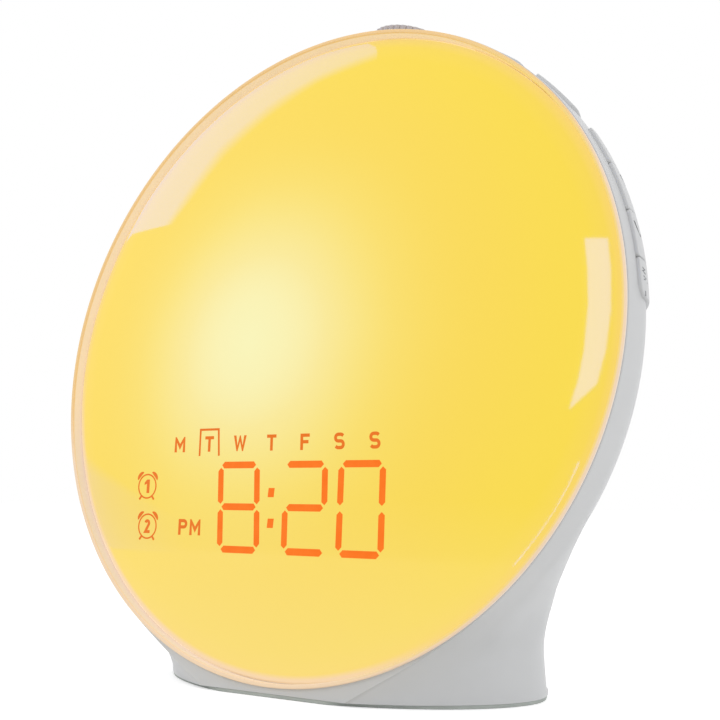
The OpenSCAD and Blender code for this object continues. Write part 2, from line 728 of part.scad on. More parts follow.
// Radii from the disc's axis.
collar_top = shell_r + 0.2;
panel_in = collar_top - 3.3;
body_in = panel_in - 7.4;
knob_low = collar_top + knob_travel + 0.1;
knob_top = knob_low + knob_h;
shaft_r = shaft_d / 2;
knob_r = knob_d / 2;
cap_t = 0.9;
nut_t = 1.5;
bush_r = 3.5;
bush_top = collar_top - 0.1;
hub_low = bush_top + knob_travel + 0.2;

module on_knob() {
    on_rim(knob_angle, knob_depth) children();
}
module pin(r, from, to, n = 48) {
    translate([0, 0, from]) cylinder(r = r, h = to - from, $fn = n);
}
// The flat that turns a round shaft or bore into a D.
module flat(from, to, at) {
    translate([at, -6, from]) cube([6, 12, to - from]);
}
module knob() {
    color("silver") on_knob() difference() {
        union() {
            difference() {
                union() {
                    pin(knob_r - 0.5, knob_low, knob_top - 0.4, 96);
                    for (i = [0:knob_ribs - 1]) rotate([0, 0, i * 360 / knob_ribs])
                        translate([knob_r - 0.62, 0, knob_low]) cylinder(r = 0.6, h = knob_h - 0.5, $fn = 16);
                    translate([0, 0, knob_top - 0.4]) cylinder(r1 = knob_r - 0.5, r2 = knob_r - 0.9, h = 0.4, $fn = 96);
                }
                pin(knob_r - 1.7, knob_low - 1, knob_top - cap_t, 96);
            }
            pin(shaft_r + 1.6, hub_low, knob_top - cap_t + 0.1);
        }
        difference() {
            pin(shaft_r, hub_low - 1, knob_top - cap_t);
            flat(hub_low - 2, knob_top, shaft_r - 0.7);
        }
    }
}
module encoder_shaft() {
    color("silver") on_knob() difference() {
        pin(shaft_r, body_in + 1.9, knob_top - cap_t);
        flat(hub_low - 0.2, knob_top + 1, shaft_r - 0.7);
        flat(body_in, panel_in - 2, shaft_r - 0.7);
    }
}
module encoder_rotor() {
    color("white") on_knob() difference() {
        union() {
            pin(4.6, body_in + 2.6, body_in + 4.2);
            for (i = [0:11]) rotate([0, 0, i * 30]) translate([4.3, 0, body_in + 4.1])
                cylinder(r = 0.35, h = 0.5, $fn = 16);
        }
        difference() {
            pin(shaft_r + shaft_fit, body_in, body_in + 6);
            flat(body_in - 1, body_in + 7, shaft_r - 0.7 + shaft_fit);
        }
    }
}
module encoder_body() {
    color("dimgray") on_knob() difference() {
        union() {
            translate([-5.8, -5.8, body_in]) cube([11.6, 11.6, panel_in - body_in]);
            pin(bush_r, panel_in - eps, bush_top);
        }
        pin(5, body_in + 1.2, panel_in - 1.4);
        pin(shaft_r + shaft_fit, body_in + 2, bush_top + 1);
    }
}
module encoder_nut() {
    color("silver") on_knob() difference() {
        translate([0, 0, collar_top - 0.2 - nut_t]) cylinder(r = 5.4, h = nut_t, $fn = 6);
        pin(bush_r + 0.05, collar_top - 4, collar_top + 1);
    }
}

// --- Power jack -------------------------------------------------------------

jack_face = 25.6;
jack_wall = 3;
jack_r = 3.9;
bore_r = jack_bore_d / 2;
bore_l = 9.5;
jack_end = jack_face + 2.2;

module on_jack(y) {
    translate([jack_x, y, jack_z]) rotate([-90, 0, 0]) children();
}
module dc_jack() {
    color("dimgray") difference() {
        union() {
            translate([jack_x - 5.5, jack_face - jack_wall - 10, jack_z - 5.5]) cube([11, 10, 11]);
            on_jack(jack_face - jack_wall - eps) cylinder(r = jack_r, h = jack_end - jack_face + jack_wall + eps, $fn = 64);
        }
        on_jack(jack_end - bore_l) cylinder(r = bore_r, h = bore_l + 1, $fn = 64);
    }
}
module jack_pin() {
    color("silver") on_jack(jack_end - bore_l) cylinder(d = jack_pin_d, h = bore_l - 0.6, $fn = 32);
}
module jack_nut() {
    color("silver") difference() {
        on_jack(jack_face) cylinder(r = 5.6, h = 1.5, $fn = 6);
        on_jack(jack_face - 1) cylinder(r = jack_r + 0.05, h = 4, $fn = 64);
    }
}

// --- Base -------------------------------------------------------------------

base_top = foot_z + base_t;
base_boss_h = 7;
base_screw_at = [[43, 2], [-43, 2], [18, 22], [-18, 22]];
base_half = foot_w / 2 - shell_wall - base_gap - 0.8;
base_back = foot_d / 2 - shell_wall - base_gap - 0.9;
base_front = plane_y(foot_z, shell_front + shell_wall) + base_gap + 0.2;
door_at = [-22, -2, 0];
door_r = door_d / 2;
lug_r = door_r + 1.4;
cup_r = cell_d / 2 + 0.6;
cell_z = base_top + 0.3;
roof_z = cell_z + cell_t + 1.6;

module base_plan() {
    difference() {
        oval(base_half, base_back, -base_back);
        translate([-80, base_front - 40]) square([160, 40]);
    }
}
// A ring sector in plan, for the door's lugs and their notches.
module fan(r, from, to) {
    intersection() {
        circle(r = r, $fn = 96);
        polygon([[0, 0], [40 * cos(from), 40 * sin(from)], [60 * cos((from + to) / 2), 60 * sin((from + to) / 2)],
                 [40 * cos(to), 40 * sin(to)]]);
    }
}
module base_plate() {
    color("darkgray") difference() {
        union() {
            translate([0, 0, foot_z]) linear_extrude(base_t) base_plan();
            translate(door_at + [0, 0, base_top - eps]) cylinder(r = lug_r + 1.8, h = 1.2, $fn = 96);
            translate(door_at + [0, 0, base_top]) cylinder(r = cup_r + 1.6, h = roof_z + 1.4 - base_top, $fn = 96);
        }
        on_disc() post(0, 0, -20, ledge_back + 0.2, disc_r + 0.3, 128);
        // The door's opening, the room its lugs turn in, and the notches they enter by.
        translate(door_at + [0, 0, foot_z - 1]) cylinder(r = door_r + 0.2, h = 3, $fn = 96);
        translate(door_at + [0, 0, foot_z + 0.8]) cylinder(r = lug_r + 0.3, h = base_t - 0.8, $fn = 96);
        translate(door_at + [0, 0, foot_z - 1]) linear_extrude(2) for (a = [0, 180])
            rotate([0, 0, a + door_turn]) fan(lug_r + 0.3, -20, 20);
        translate(door_at + [0, 0, foot_z + 1]) cylinder(r = cup_r, h = roof_z - foot_z - 1, $fn = 96);
        translate(door_at) cylinder(r = 0.8, h = 30, $fn = 24);
        translate(door_at + [0, cup_r - 0.35, 0]) cylinder(r = 0.8, h = 30, $fn = 24);
        for (p = base_screw_at) translate([p[0], p[1], 0]) {
            cylinder(r = screw_r + 0.15, h = 10, $fn = 32);
            cylinder(r = 2.75, h = foot_z + 1.1, $fn = 40);
        }
    }
}
module base_screws() {
    color("silver") for (p = base_screw_at) translate([p[0], p[1], 0]) difference() {
        union() {
            translate([0, 0, foot_z + 0.1]) cylinder(r = 2.6, h = 1, $fn = 40);
            translate([0, 0, foot_z + 1]) cylinder(r = screw_r, h = 6.6, $fn = 32);
        }
        translate([-3, -0.35, foot_z - 1]) cube([6, 0.7, 1.6]);
        translate([-0.35, -3, foot_z - 1]) cube([0.7, 6, 1.6]);
    }
}
module base_pad() {
    color("darkseagreen") difference() {
        linear_extrude(pad_t) difference() {
            oval(foot_w / 2 - pad_inset, foot_d / 2 - pad_inset, pad_inset - foot_d / 2);
            for (p = base_screw_at) translate([p[0], p[1]]) circle(r = 3.6, $fn = 40);
            translate([door_at[0], door_at[1]]) circle(r = lug_r + 1.2, $fn = 96);
        }
    }
}
module battery_door() {
    color("darkgray") translate(door_at) difference() {
        union() {
            translate([0, 0, foot_z + 0.1]) cylinder(r = door_r, h = base_t - 0.4, $fn = 96);
            translate([0, 0, foot_z + 0.9]) linear_extrude(0.7) for (a = [0, 180])
                rotate([0, 0, a]) fan(lug_r, -18, 18);
            cylinder(r = cup_r - 0.3, h = cell_z, $fn = 96);
        }
        translate([0, 0, -1]) cylinder(r = door_r + 5, h = foot_z + 1.1, $fn = 96);
        translate([-0.9, -7, foot_z - 1]) cube([1.8, 14, 1.9]);
    }
}
module coin_cell() {
    color("silver") translate(door_at + [0, 0, cell_z]) {
        cylinder(r = cell_d / 2, h = cell_t - 0.6, $fn = 96);
        cylinder(r = cell_d / 2 - 1.4, h = cell_t, $fn = 96);
    }
}
module battery_contacts() {
    color("gold") translate(door_at) {
        translate([0, 0, cell_z + cell_t]) cylinder(r = 3, h = 0.5, $fn = 40);
        translate([0, 0, cell_z + cell_t]) cylinder(r = 0.6, h = roof_z + 2.4 - cell_z - cell_t, $fn = 24);
        translate([-1.5, cup_r - 0.55, cell_z + 0.4]) cube([3, 0.4, roof_z - cell_z - 0.8]);
        translate([0, cup_r - 0.35, roof_z - 1]) cylinder(r = 0.6, h = 3.4, $fn = 24);
    }
}

// --- Leads ------------------------------------------------------------------

plug_h = 3;
plug_back = main_back + plug_h;
function board_plug(a, b) = disc_point([a, b, plug_back - 0.5]);
function past_plug(a, b, d = 3.5) = disc_point([a, b, plug_back + d]);

module speaker_lead() {
    color("firebrick") {
        on_disc() plug(-21.5, -30, main_back, plug_back);
        lead([disc_point([-6.1, -15.4, speaker_back - 6.2]), disc_point([-8.2, -20, speaker_back - 5.6]),
              disc_point([-16, -26, speaker_back - 4.2]),
              past_plug(-21.5, -30), board_plug(-21.5, -30)], lead_r, [0, 1, 1]);
    }
}
module led_lead() {
    color("white") {
        on_disc() plug(-28, -8, board_back, board_back + 2.4);
        on_disc() plug(-28, -25, main_back, plug_back);
    }
    color("white") lead([disc_point([-28, -8, board_back + 2]), disc_point([-28, -8, board_back + 5]),
        disc_point([-28, -13, plug_back + 4]), disc_point([-28, -21, plug_back + 4.5]),
        past_plug(-28, -25, 2.5), board_plug(-28, -25)], lead_r);
}
module key_lead() {
    color("white") {
        on_disc() rotate([0, 0, 9.5]) plug(68, 0, key_board_c + board_t, key_board_c + board_t + 2.4, 4, 6);
        on_disc() plug(33, -29, main_back, plug_back);
        lead([disc_point([67.1, 11.2, key_board_c + board_t + 2]), disc_point([66.6, 10.5, key_board_c + 7]),
              disc_point([59, 0, 26]), disc_point([54, -14, 29]), disc_point([44, -26, 31]),
              past_plug(33, -29), board_plug(33, -29)], lead_r, [0, 0, 1]);
    }
}
module encoder_lead() {
    inner = body_in - 1.5;
    color("goldenrod") {
        on_knob() translate([-3, -4, inner]) cube([6, 8, body_in - inner]);
        on_disc() plug(22, -21, main_back, plug_back);
        lead([disc_point([cos(knob_angle) * (inner + 0.5), sin(knob_angle) * (inner + 0.5), knob_depth]),
              disc_point([cos(knob_angle) * (inner - 2.5), sin(knob_angle) * (inner - 2.5), knob_depth + 1]),
              disc_point([15, 62, 22]), disc_point([27, 48, 25]), disc_point([34, 28, 26]),
              disc_point([35, 6, 27]), disc_point([29, -11, 30]), past_plug(22, -21), board_plug(22, -21)],
             lead_r, [1, 0, 0.2]);
    }
}
module jack_lead() {
    color("black") {
        on_disc() plug(24, -52, main_back, plug_back);
        lead([[jack_x, jack_face - jack_wall - 10.25, jack_z], [jack_x + 0.5, jack_face - jack_wall - 13, jack_z + 1],
              [jack_x + 4, 5.5, jack_z + 5], [23.5, 4.5, jack_z + 10], past_plug(24, -52), board_plug(24, -52)],
             lead_r, [1, 0, 0]);
    }
}
module battery_lead() {
    color("firebrick") {
        on_disc() plug(-24, -52, main_back, plug_back);
        translate(door_at + [0, 0, roof_z + 1.4]) difference() {
            translate([-2, -2, 0]) cube([4, cup_r + 3, 2]);
            for (y = [0, cup_r - 0.35]) translate([0, y, -1]) cylinder(r = 0.65, h = 2.05, $fn = 24);
        }
        lead([door_at + [0, 3, roof_z + 2.4], door_at + [0, 3.2, roof_z + 6],
              [-23, 5, 20], [-24, 5.5, 25.5], past_plug(-24, -52), board_plug(-24, -52)], lead_r, [1, 0, 0]);
    }
}

// --- Housing ----------------------------------------------------------------

// A boss for a screw: it stands on the housing's back wall.
module boss(a, b, from, r) {
    post(a, b, from, skin_depth(a, b, shell_wall) + 1, r);
}
module pilot(a, b, from, length) {
    post(a, b, from - 1, from + length, screw_r + 0.02, 32);
}
module rear_housing() {
    color("gainsboro") difference() {
        union() {
            housing_wall();
            // The toe that reaches forward under the lens ring.
            translate([0, 0, foot_z]) linear_extrude(toe_t) difference() {
                oval(foot_w / 2, foot_d / 2, -foot_d / 2);
                difference() {
                    oval(foot_w / 2 - shell_wall, foot_d / 2 - shell_wall - 0.6, shell_wall - foot_d / 2);
                    translate([-80, base_front - base_gap - 40]) square([160, 40]);
                }
            }
            on_disc() {
                for (p = light_screws) boss(p[0], p[1], board_back, 3.3);
                for (p = main_screws) boss(p[0], p[1], main_back, 3.1);
                for (a = key_posts)
                    boss(70 * cos(a), 70 * sin(a), key_board_c + board_t, 2.6);
                turned([[20, ledge_front], [ledge_out_r, ledge_front], [ledge_out_r, seat_c + 1.4], [20, seat_c + 1.4]]);
            }
            on_knob() pin(knob_r - 1, body_in - 0.5, collar_top, 96);
            for (p = base_screw_at) translate([p[0], p[1], base_top]) {
                cylinder(r = 3, h = base_boss_h, $fn = 40);
                rotate([0, 0, p[0] > 40 ? 0 : p[0] < -40 ? 180 : 90]) translate([0, -0.8, 0])
                    cube([abs(p[0]) > 40 ? foot_w / 2 - 44.2 : foot_d / 2 - 26.4, 1.6, base_boss_h]);
            }
            on_jack(jack_face - jack_wall) cylinder(r = 8, h = jack_wall, $fn = 64);
        }
        // The front opening, and everything below the sole.
        on_disc() post(0, 0, -20, bowl_start - 0.5, spigot_r + 0.2, 128);
        for (k = key_openings) on_disc() turned([[74, key_front - key_gap], [shell_r + 5, key_front - key_gap],
            [shell_r + 5, key_back + key_gap], [74, key_back + key_gap]],
            k[0] - key_turn_gap, k[1] - k[0] + 2 * key_turn_gap);
        on_knob() {
            translate([-6.1, -6.1, body_in - 4]) cube([12.2, 12.2, panel_in - body_in + 4]);
            pin(bush_r + 0.1, body_in, collar_top + 2);
            pin(6.2, collar_top - 0.2 - nut_t, collar_top + 2);
        }
        on_disc() {
            post(0, 0, seat_c, seat_c + 20, grille_r + 0.15, 128);
            post(0, 0, ledge_front - 5, seat_c + 20, 20.2, 96);
            for (a = ear_angles) rotate([0, 0, a]) post(ear_r, 0, ledge_front - 1, ledge_front + 3, 1.02, 24);
            for (p = light_screws) pilot(p[0], p[1], board_back, screw_hold + 1);
            for (p = main_screws) pilot(p[0], p[1], main_back, screw_hold + 1);
            for (a = key_posts) pilot(70 * cos(a), 70 * sin(a), key_board_c + board_t, 5);
        }
        for (p = base_screw_at) translate([p[0], p[1], base_top - 1]) cylinder(r = screw_r + 0.02, h = base_boss_h - 0.2, $fn = 32);
        on_jack(jack_face) cylinder(r = 6.8, h = 20, $fn = 64);
        on_jack(jack_face - 8) cylinder(r = jack_r + 0.1, h = 20, $fn = 64);
    }
}

front_lens();
lens_ring();
lens_gasket();
reflector();
led_board();
warm_leds();
colour_leds();
reflector_screws();
display_housing();
display_segments();
display_board();
display_header();
rear_housing();
speaker_grille();
speaker_frame();
speaker_magnet();
speaker_cone();
speaker_gasket();
speaker_screws();
speaker_lead();
main_board();
main_chips();
capacitors();
board_screws();
led_lead();
key_board();
tact_switches();
key_screws();
key_lead();
side_key_1();
side_key_2();
side_key_3();
side_key_4();
side_key_5();
side_key_6();
key_plunger_1();
key_plunger_2();
key_plunger_3();
key_plunger_4();
key_plunger_5();
key_plunger_6();
knob();
encoder_shaft();
encoder_rotor();
encoder_body();
encoder_nut();
encoder_lead();
dc_jack();
jack_pin();
jack_nut();
jack_lead();
base_plate();
base_screws();
base_pad();
battery_door();
coin_cell();
battery_contacts();
battery_lead();
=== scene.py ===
import json
from math import asin, cos, degrees, hypot, pi, radians, sin, sqrt, tan
import bpy
import bmesh
import numpy as np
from mathutils import Matrix, Vector


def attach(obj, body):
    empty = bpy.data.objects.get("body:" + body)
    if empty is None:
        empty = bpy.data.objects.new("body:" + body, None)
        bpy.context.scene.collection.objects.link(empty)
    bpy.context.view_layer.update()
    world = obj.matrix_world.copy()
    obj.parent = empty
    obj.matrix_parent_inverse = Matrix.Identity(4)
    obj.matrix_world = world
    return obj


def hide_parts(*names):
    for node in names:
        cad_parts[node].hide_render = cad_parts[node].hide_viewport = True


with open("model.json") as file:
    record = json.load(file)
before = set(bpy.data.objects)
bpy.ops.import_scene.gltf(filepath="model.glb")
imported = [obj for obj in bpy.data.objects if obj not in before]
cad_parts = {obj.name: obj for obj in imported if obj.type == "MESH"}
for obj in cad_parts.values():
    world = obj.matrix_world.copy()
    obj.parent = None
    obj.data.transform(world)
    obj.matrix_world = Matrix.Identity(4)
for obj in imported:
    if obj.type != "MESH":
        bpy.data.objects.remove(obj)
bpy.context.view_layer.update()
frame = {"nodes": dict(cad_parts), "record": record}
nodes = frame["nodes"]
scene = bpy.context.scene

# --- Sizes, in millimetres, as in the part's source but where a comment says otherwise ---

MM = 0.001
DISC_R = 84.0
LEAN = radians(9)
RING_LIFT = 2.4
DISC_Y = -21.0
DISC_Z = DISC_R * cos(LEAN) + RING_LIFT
LENS_R = 82.75
LENS_RISE = 9.0
LENS_DEPTH = 3.0
LENS_WALL = 2.4
SHOULDER_R = 0.6
DOME_R = (LENS_R ** 2 + LENS_RISE ** 2) / (2 * LENS_RISE)
DOME_C = LENS_DEPTH - LENS_RISE + DOME_R
LIP_W = 1.1
RING_OUTER_ROUND = 0.4
RING_INNER_ROUND = 0.3
FLANGE_C = 4.5
LEDGE_C = 4.8
LEDGE_BACK = 5.7
LEDGE_W = 6.5
SPIGOT_R = DISC_R - LIP_W + 0.6
SHELL_R = 84.5
SHELL_WALL = 2.2
SHELL_DRAFT = 0.4
SHELL_FRONT = 0.8
BOWL_START = 8.0
BOWL_DEPTH = 36.0
BOWL_POWER = 1.82
BLEND = 18.0          # gentler than the solid's, so that the flank has no ridge
BLEND_FULL_C = 36.0
BLEND_LOW = 0.56
FOOT_W = 107.2
FOOT_D = 66.2
FOOT_Z = 0.9
FOOT_POWER = 1.84
FOOT_SPREAD = 5.3
SPREAD_H = 22.0
FOOT_FADE = 20.0
FOOT_FADE_Z = 76.0
FOOT_LEAST_W = 5.0
WAIST_W = 106.4
WAIST_Z = 11.0
BACK_FLARE = 1.4
BACK_SLOPE = 0.1
TOE_REACH = 2.5
TOE_T = 1.0
TOE_INSET = 0.3
PAD_T = 0.9
PAD_EDGE = 0.15       # how far the visible pad stays inside the foot's own outline
KEYS = [(53.6, 63.0), (39.6, 48.8), (26.75, 33.8), (18.05, 26.5), (10.25, 17.8), (3.2, 9.9)]
KEY_OPENINGS = [(53.6, 63.0), (39.6, 48.8), (4.2, 33.8)]
OPENING_ROUND, LOW_OPENING_ROUND = 1.0, 3.0
LOW_KEY_LIFT = 1.0    # in degrees: the lowest visible key ends higher than its solid,
LOW_KEY_ROUND = 2.7   # and with a rounder corner
KEY_FRONT = 6.0
KEY_W = 12.5
KEY_ROUND, KEY_FRONT_ROUND = 0.5, 0.8
KEY_PROUD = 0.8
KEY_GAP = 0.35
KEY_EDGE = 0.3
KEY_SINK = 1.2        # of a cap's underside below the wall
CAP_GROWTH = 0.12     # the visible caps fill more of the gaps than the solids do: between keys,
CAP_REACH = 0.27      # and at the edges of their openings
KNOB_ANGLE = radians(81.5)
KNOB_DEPTH = 14.0
KNOB_R = 10.5
KNOB_LOW = 85.3
KNOB_TOP = 87.5
KNOB_RIBS = 36
KNOB_RIB_H = 0.62
KNOB_CAP_T = 0.9
KNOB_HUB_R = 4.6
KNOB_BORE_R = 3.0
KNOB_HUB_LIFT = 0.6   # of the hub above the collar
COLLAR_TOP = 84.7
BUSH_HOLE_R = 3.6
NUT_HOLE_R, NUT_HOLE_D = 6.2, 1.7
BODY_IN = 74.0
GRILLE_R = 24.0
GRILLE_GAP = 0.15
GRILLE_SEAT = 3.4     # depth of the grille's seat below the skin at its rim
GRILLE_LEDGE_R = 28.0
CONE_R = 20.2
POCKET_T = 1.8        # wall of the grille's pocket, which the solids leave open under the grille
POCKET_OVERLAP = 0.6
POCKET_SHORT = 0.3    # of the skin
BASE_SCREWS = [(43, 2), (-43, 2), (18, 22), (-18, 22)]
SCREW_HOLE_R = 3.6
DOOR_AT = (-22, -2)
DOOR_OPEN_R = 14.8
JACK_X, JACK_Z = 16.0, 16.0
JACK_FACE = 25.6
JACK_SEAT_R, JACK_RECESS_R, JACK_HOLE_R = 8.0, 6.8, 5.1


# --- Frames ---

def axes(points):
    """The three columns of points, whatever the shape of the array that holds them."""
    return np.moveaxis(np.asarray(points, float), -1, 0)


def disc_to_world(points):
    """[right, up, depth] in the disc's frame to world, all in millimetres."""
    a, b, c = axes(points)
    s, k = sin(LEAN), cos(LEAN)
    return np.stack([a, DISC_Y + b * s + c * k, DISC_Z + b * k - c * s], -1)


def world_to_disc(points):
    x, y, z = axes(points)
    s, k = sin(LEAN), cos(LEAN)
    y, z = y - DISC_Y, z - DISC_Z
    return np.stack([x, y * s + z * k, y * k - z * s], -1)


def on_knob(points):
    """Points in the knob's frame to world: X to the front, Z outwards from the disc's axis."""
    x, y, z = axes(points)
    a = z * cos(KNOB_ANGLE) - y * sin(KNOB_ANGLE)
    b = z * sin(KNOB_ANGLE) + y * cos(KNOB_ANGLE)
    return disc_to_world(np.stack([a, b, KNOB_DEPTH - x], -1))


def on_jack(points):
    """Points in the jack's frame to world: Z straight out of the back."""
    x, y, z = axes(points)
    return np.stack([JACK_X + x, JACK_FACE + z, JACK_Z + y], -1)


def on_rim(points):
    """[degrees round the rim, depth, radius from the disc's axis] to world."""
    t, c, r = axes(points)
    t = np.radians(t)
    return disc_to_world(np.stack([r * np.cos(t), r * np.sin(t), c], -1))


def in_place(points):
    return np.asarray(points, float)


# --- Shape of the housing ---

def ease(t):
    return t * t * (3 - 2 * t)


def draft(c):
    """How much the straight rim tapers towards its front edge."""
    return SHELL_DRAFT * np.maximum(0, 1 - np.maximum(c, 0) / BOWL_START) ** 2


def bowl_radius(c, inset=0.0):
    """Radius of the rim and the bowl at a depth."""
    c = np.asarray(c, float)
    t = np.clip((c - BOWL_START) / (BOWL_DEPTH - inset), 0, 1)
    bowl = (SHELL_R - inset) * (1 - t ** BOWL_POWER) ** (1 / BOWL_POWER)
    return np.where(c <= BOWL_START, SHELL_R - draft(c) - inset, bowl)


def bowl_depth_at(r):
    return BOWL_START + BOWL_DEPTH * (1 - (r / SHELL_R) ** BOWL_POWER) ** (1 / BOWL_POWER)


def power_norm(a, b, n):
    return (np.abs(a) ** n + np.abs(b) ** n) ** (1 / n)


def below_waist(z):
    return ((WAIST_Z - z) / (WAIST_Z - FOOT_Z)) ** 2


def foot_half_w(z):
    t = np.clip((z - WAIST_Z) / SPREAD_H, 0, 1)
    u = np.maximum(0, (z - WAIST_Z - SPREAD_H) / SPREAD_H)
    wide = WAIST_W / 2 + FOOT_SPREAD * ease(t) - FOOT_FADE * u * u
    flared = WAIST_W / 2 + (FOOT_W - WAIST_W) / 2 * below_waist(z)
    return np.where(z < WAIST_Z, flared, np.maximum(FOOT_LEAST_W, wide))


def foot_back(z):
    flare = (BACK_FLARE - BACK_SLOPE * (WAIST_Z - FOOT_Z)) * below_waist(z)
    straight = FOOT_D / 2 - BACK_FLARE - BACK_SLOPE * (z - WAIST_Z)
    return straight + np.where(z < WAIST_Z, flare, 0)


def body_field(p, inset):
    """Negative inside the body: the bowl and the foot, softly blended."""
    q = world_to_disc(p)
    r, c = np.hypot(q[..., 0], q[..., 1]), q[..., 2]
    drum = r - SHELL_R + draft(c) + inset
    out, behind = r / (SHELL_R - inset), np.maximum(c - BOWL_START, 0) / (BOWL_DEPTH - inset)
    bowl = (power_norm(out, behind, BOWL_POWER) - 1) * (SHELL_R - inset)
    bowl = np.where(c <= BOWL_START, drum, bowl)
    z = np.clip(p[..., 2], FOOT_Z, FOOT_FADE_Z)
    front = inset - FOOT_D / 2 - TOE_REACH
    back = foot_back(z) - inset
    half_d = (back - front) / 2
    across, along = p[..., 0] / (foot_half_w(z) - inset), (p[..., 1] - (front + back) / 2) / half_d
    foot = (power_norm(across, along, FOOT_POWER) - 1) * half_d
    foot = np.maximum(foot, p[..., 2] - FOOT_FADE_Z)
    k = BLEND * (BLEND_LOW + (1 - BLEND_LOW) * ease(np.clip(c / BLEND_FULL_C, 0, 1)))
    h = np.maximum(k - np.abs(bowl - foot), 0)
    return np.minimum(bowl, foot) - h * h / k / 4


def foot_oval(half_w, back, front, n=192):
    """A level outline of the foot, as points [x, y]."""
    t = around(n)
    x, y = (np.sign(v) * np.abs(v) ** (2 / FOOT_POWER) for v in (np.cos(t), np.sin(t)))
    return np.column_stack([half_w * x, (back - front) / 2 * y + (back + front) / 2])


def plane_y(z, depth):
    """Where a plane parallel to the disc, at a depth, lies at a height."""
    return DISC_Y + (z - DISC_Z) * tan(LEAN) + depth / cos(LEAN)


# --- Mesh helpers ---

def add_object(name, data):
    obj = bpy.data.objects.new(name, data)
    scene.collection.objects.link(obj)
    return obj


def add_mesh(name, points, faces, sharp=32.0):
    """A smooth-shaded mesh object from points in millimetres, with edges above an angle sharp."""
    mesh = bpy.data.meshes.new(name)
    mesh.from_pydata((np.asarray(points, float) * MM).tolist(), [], faces)
    bm = bmesh.new()
    bm.from_mesh(mesh)
    bmesh.ops.remove_doubles(bm, verts=bm.verts, dist=1e-6)
    bmesh.ops.dissolve_degenerate(bm, edges=bm.edges, dist=1e-7)
    bmesh.ops.recalc_face_normals(bm, faces=bm.faces)
    bm.to_mesh(mesh)
    bm.free()
    smooth(mesh, sharp)
    return add_object(name, mesh)


def smooth(mesh, sharp):
    mesh.polygons.foreach_set("use_smooth", [True] * len(mesh.polygons))
    mesh.set_sharp_from_angle(angle=radians(sharp))


def grid_faces(rows, cols, wrap_rows=False, wrap_cols=False):
    """Quads of a grid of rows * cols points, stored row by row."""
    out = []
    for j in range(rows if wrap_rows else rows - 1):
        for i in range(cols if wrap_cols else cols - 1):
            j2, i2 = (j + 1) % rows, (i + 1) % cols
            out.append((j * cols + i, j * cols + i2, j2 * cols + i2, j2 * cols + i))
    return out


def loft(name, rows, place, wrap=False, sharp=32.0):
    """A skin over rows of points that each close round; wrap also joins the last to the first."""
    faces = grid_faces(len(rows), len(rows[0]), wrap, True)
    return add_mesh(name, place(np.concatenate(rows)), faces, sharp)


def around(n):
    return 2 * pi * np.arange(n) / n


def turned(name, profile, n=256):
    """A solid of revolution about the disc's axis from a closed profile [radius, depth]."""
    r, c = np.asarray(profile, float).T
    rows = [np.column_stack([cos(t) * r, sin(t) * r, c]) for t in around(n)]
    return loft(name, rows, disc_to_world, True)


def pipe(name, inner, outer, low, high, n):
    return turned(name, [(inner, low), (outer, low), (outer, high), (inner, high)], n)


def prism(name, outline, low, high, place):
    """A plate between two heights over a closed outline of [x, y] points."""
    n = len(outline)
    pts = [(x, y, low) for x, y in outline] + [(x, y, high) for x, y in outline]
    faces = [(i, (i + 1) % n, n + (i + 1) % n, n + i) for i in range(n)]
    faces += [tuple(reversed(range(n))), tuple(range(n, 2 * n))]
    return add_mesh(name, place(pts), faces)


def circle(r, n=64, at=(0, 0)):
    return [(at[0] + r * cos(t), at[1] + r * sin(t)) for t in around(n)]


def rectangle(half_w, half_h, at=(0, 0)):
    signs = (-1, -1), (1, -1), (1, 1), (-1, 1)
    return [(at[0] + x * half_w, at[1] + y * half_h) for x, y in signs]


def arc(centre, r, start, sweep, n):
    t = np.radians(start + sweep * np.arange(n + 1) / n)
    return [(centre[0] + r * cos(k), centre[1] + r * sin(k)) for k in t]


def combine(obj, others, operation):
    """Joins the others to obj, or cuts them from it, and removes them."""
    for other in others:
        mod = obj.modifiers.new("cut", "BOOLEAN")
        mod.operation = operation
        mod.solver = "MANIFOLD"
        mod.object = other
    dg = bpy.context.evaluated_depsgraph_get()
    old, obj.data = obj.data, bpy.data.meshes.new_from_object(obj.evaluated_get(dg))
    obj.modifiers.clear()
    bpy.data.meshes.remove(old)
    for other in others:
        bpy.data.objects.remove(other)
    return obj


def cut(obj, cutters, sharp):
    """Takes the cutters from obj one by one, and marks its sharp edges anew."""
    for cutter in cutters:
        combine(obj, [cutter], "DIFFERENCE")
    smooth(obj.data, sharp)
    return obj


def finish_piece(obj, body, slot, *replaced, look=None):
    """Gives a piece its body and the material of its slot, or of look, and hides the CAD nodes that
    it stands for.
    """
    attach(obj, body)
    if replaced:
        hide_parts(*replaced)
    obj.data.materials.clear()
    obj.data.materials.append(LOOKS[look or slot])


# --- Material helpers ---

NOISE_RANGE = (0.3, 0.7)


def srgb(r, g, b):
    """A colour given in 0-255 display values, as linear values."""
    out = []
    for v in (r / 255, g / 255, b / 255):
        out.append(v / 12.92 if v <= 0.04045 else ((v + 0.055) / 1.055) ** 2.4)
    return (*out, 1.0)


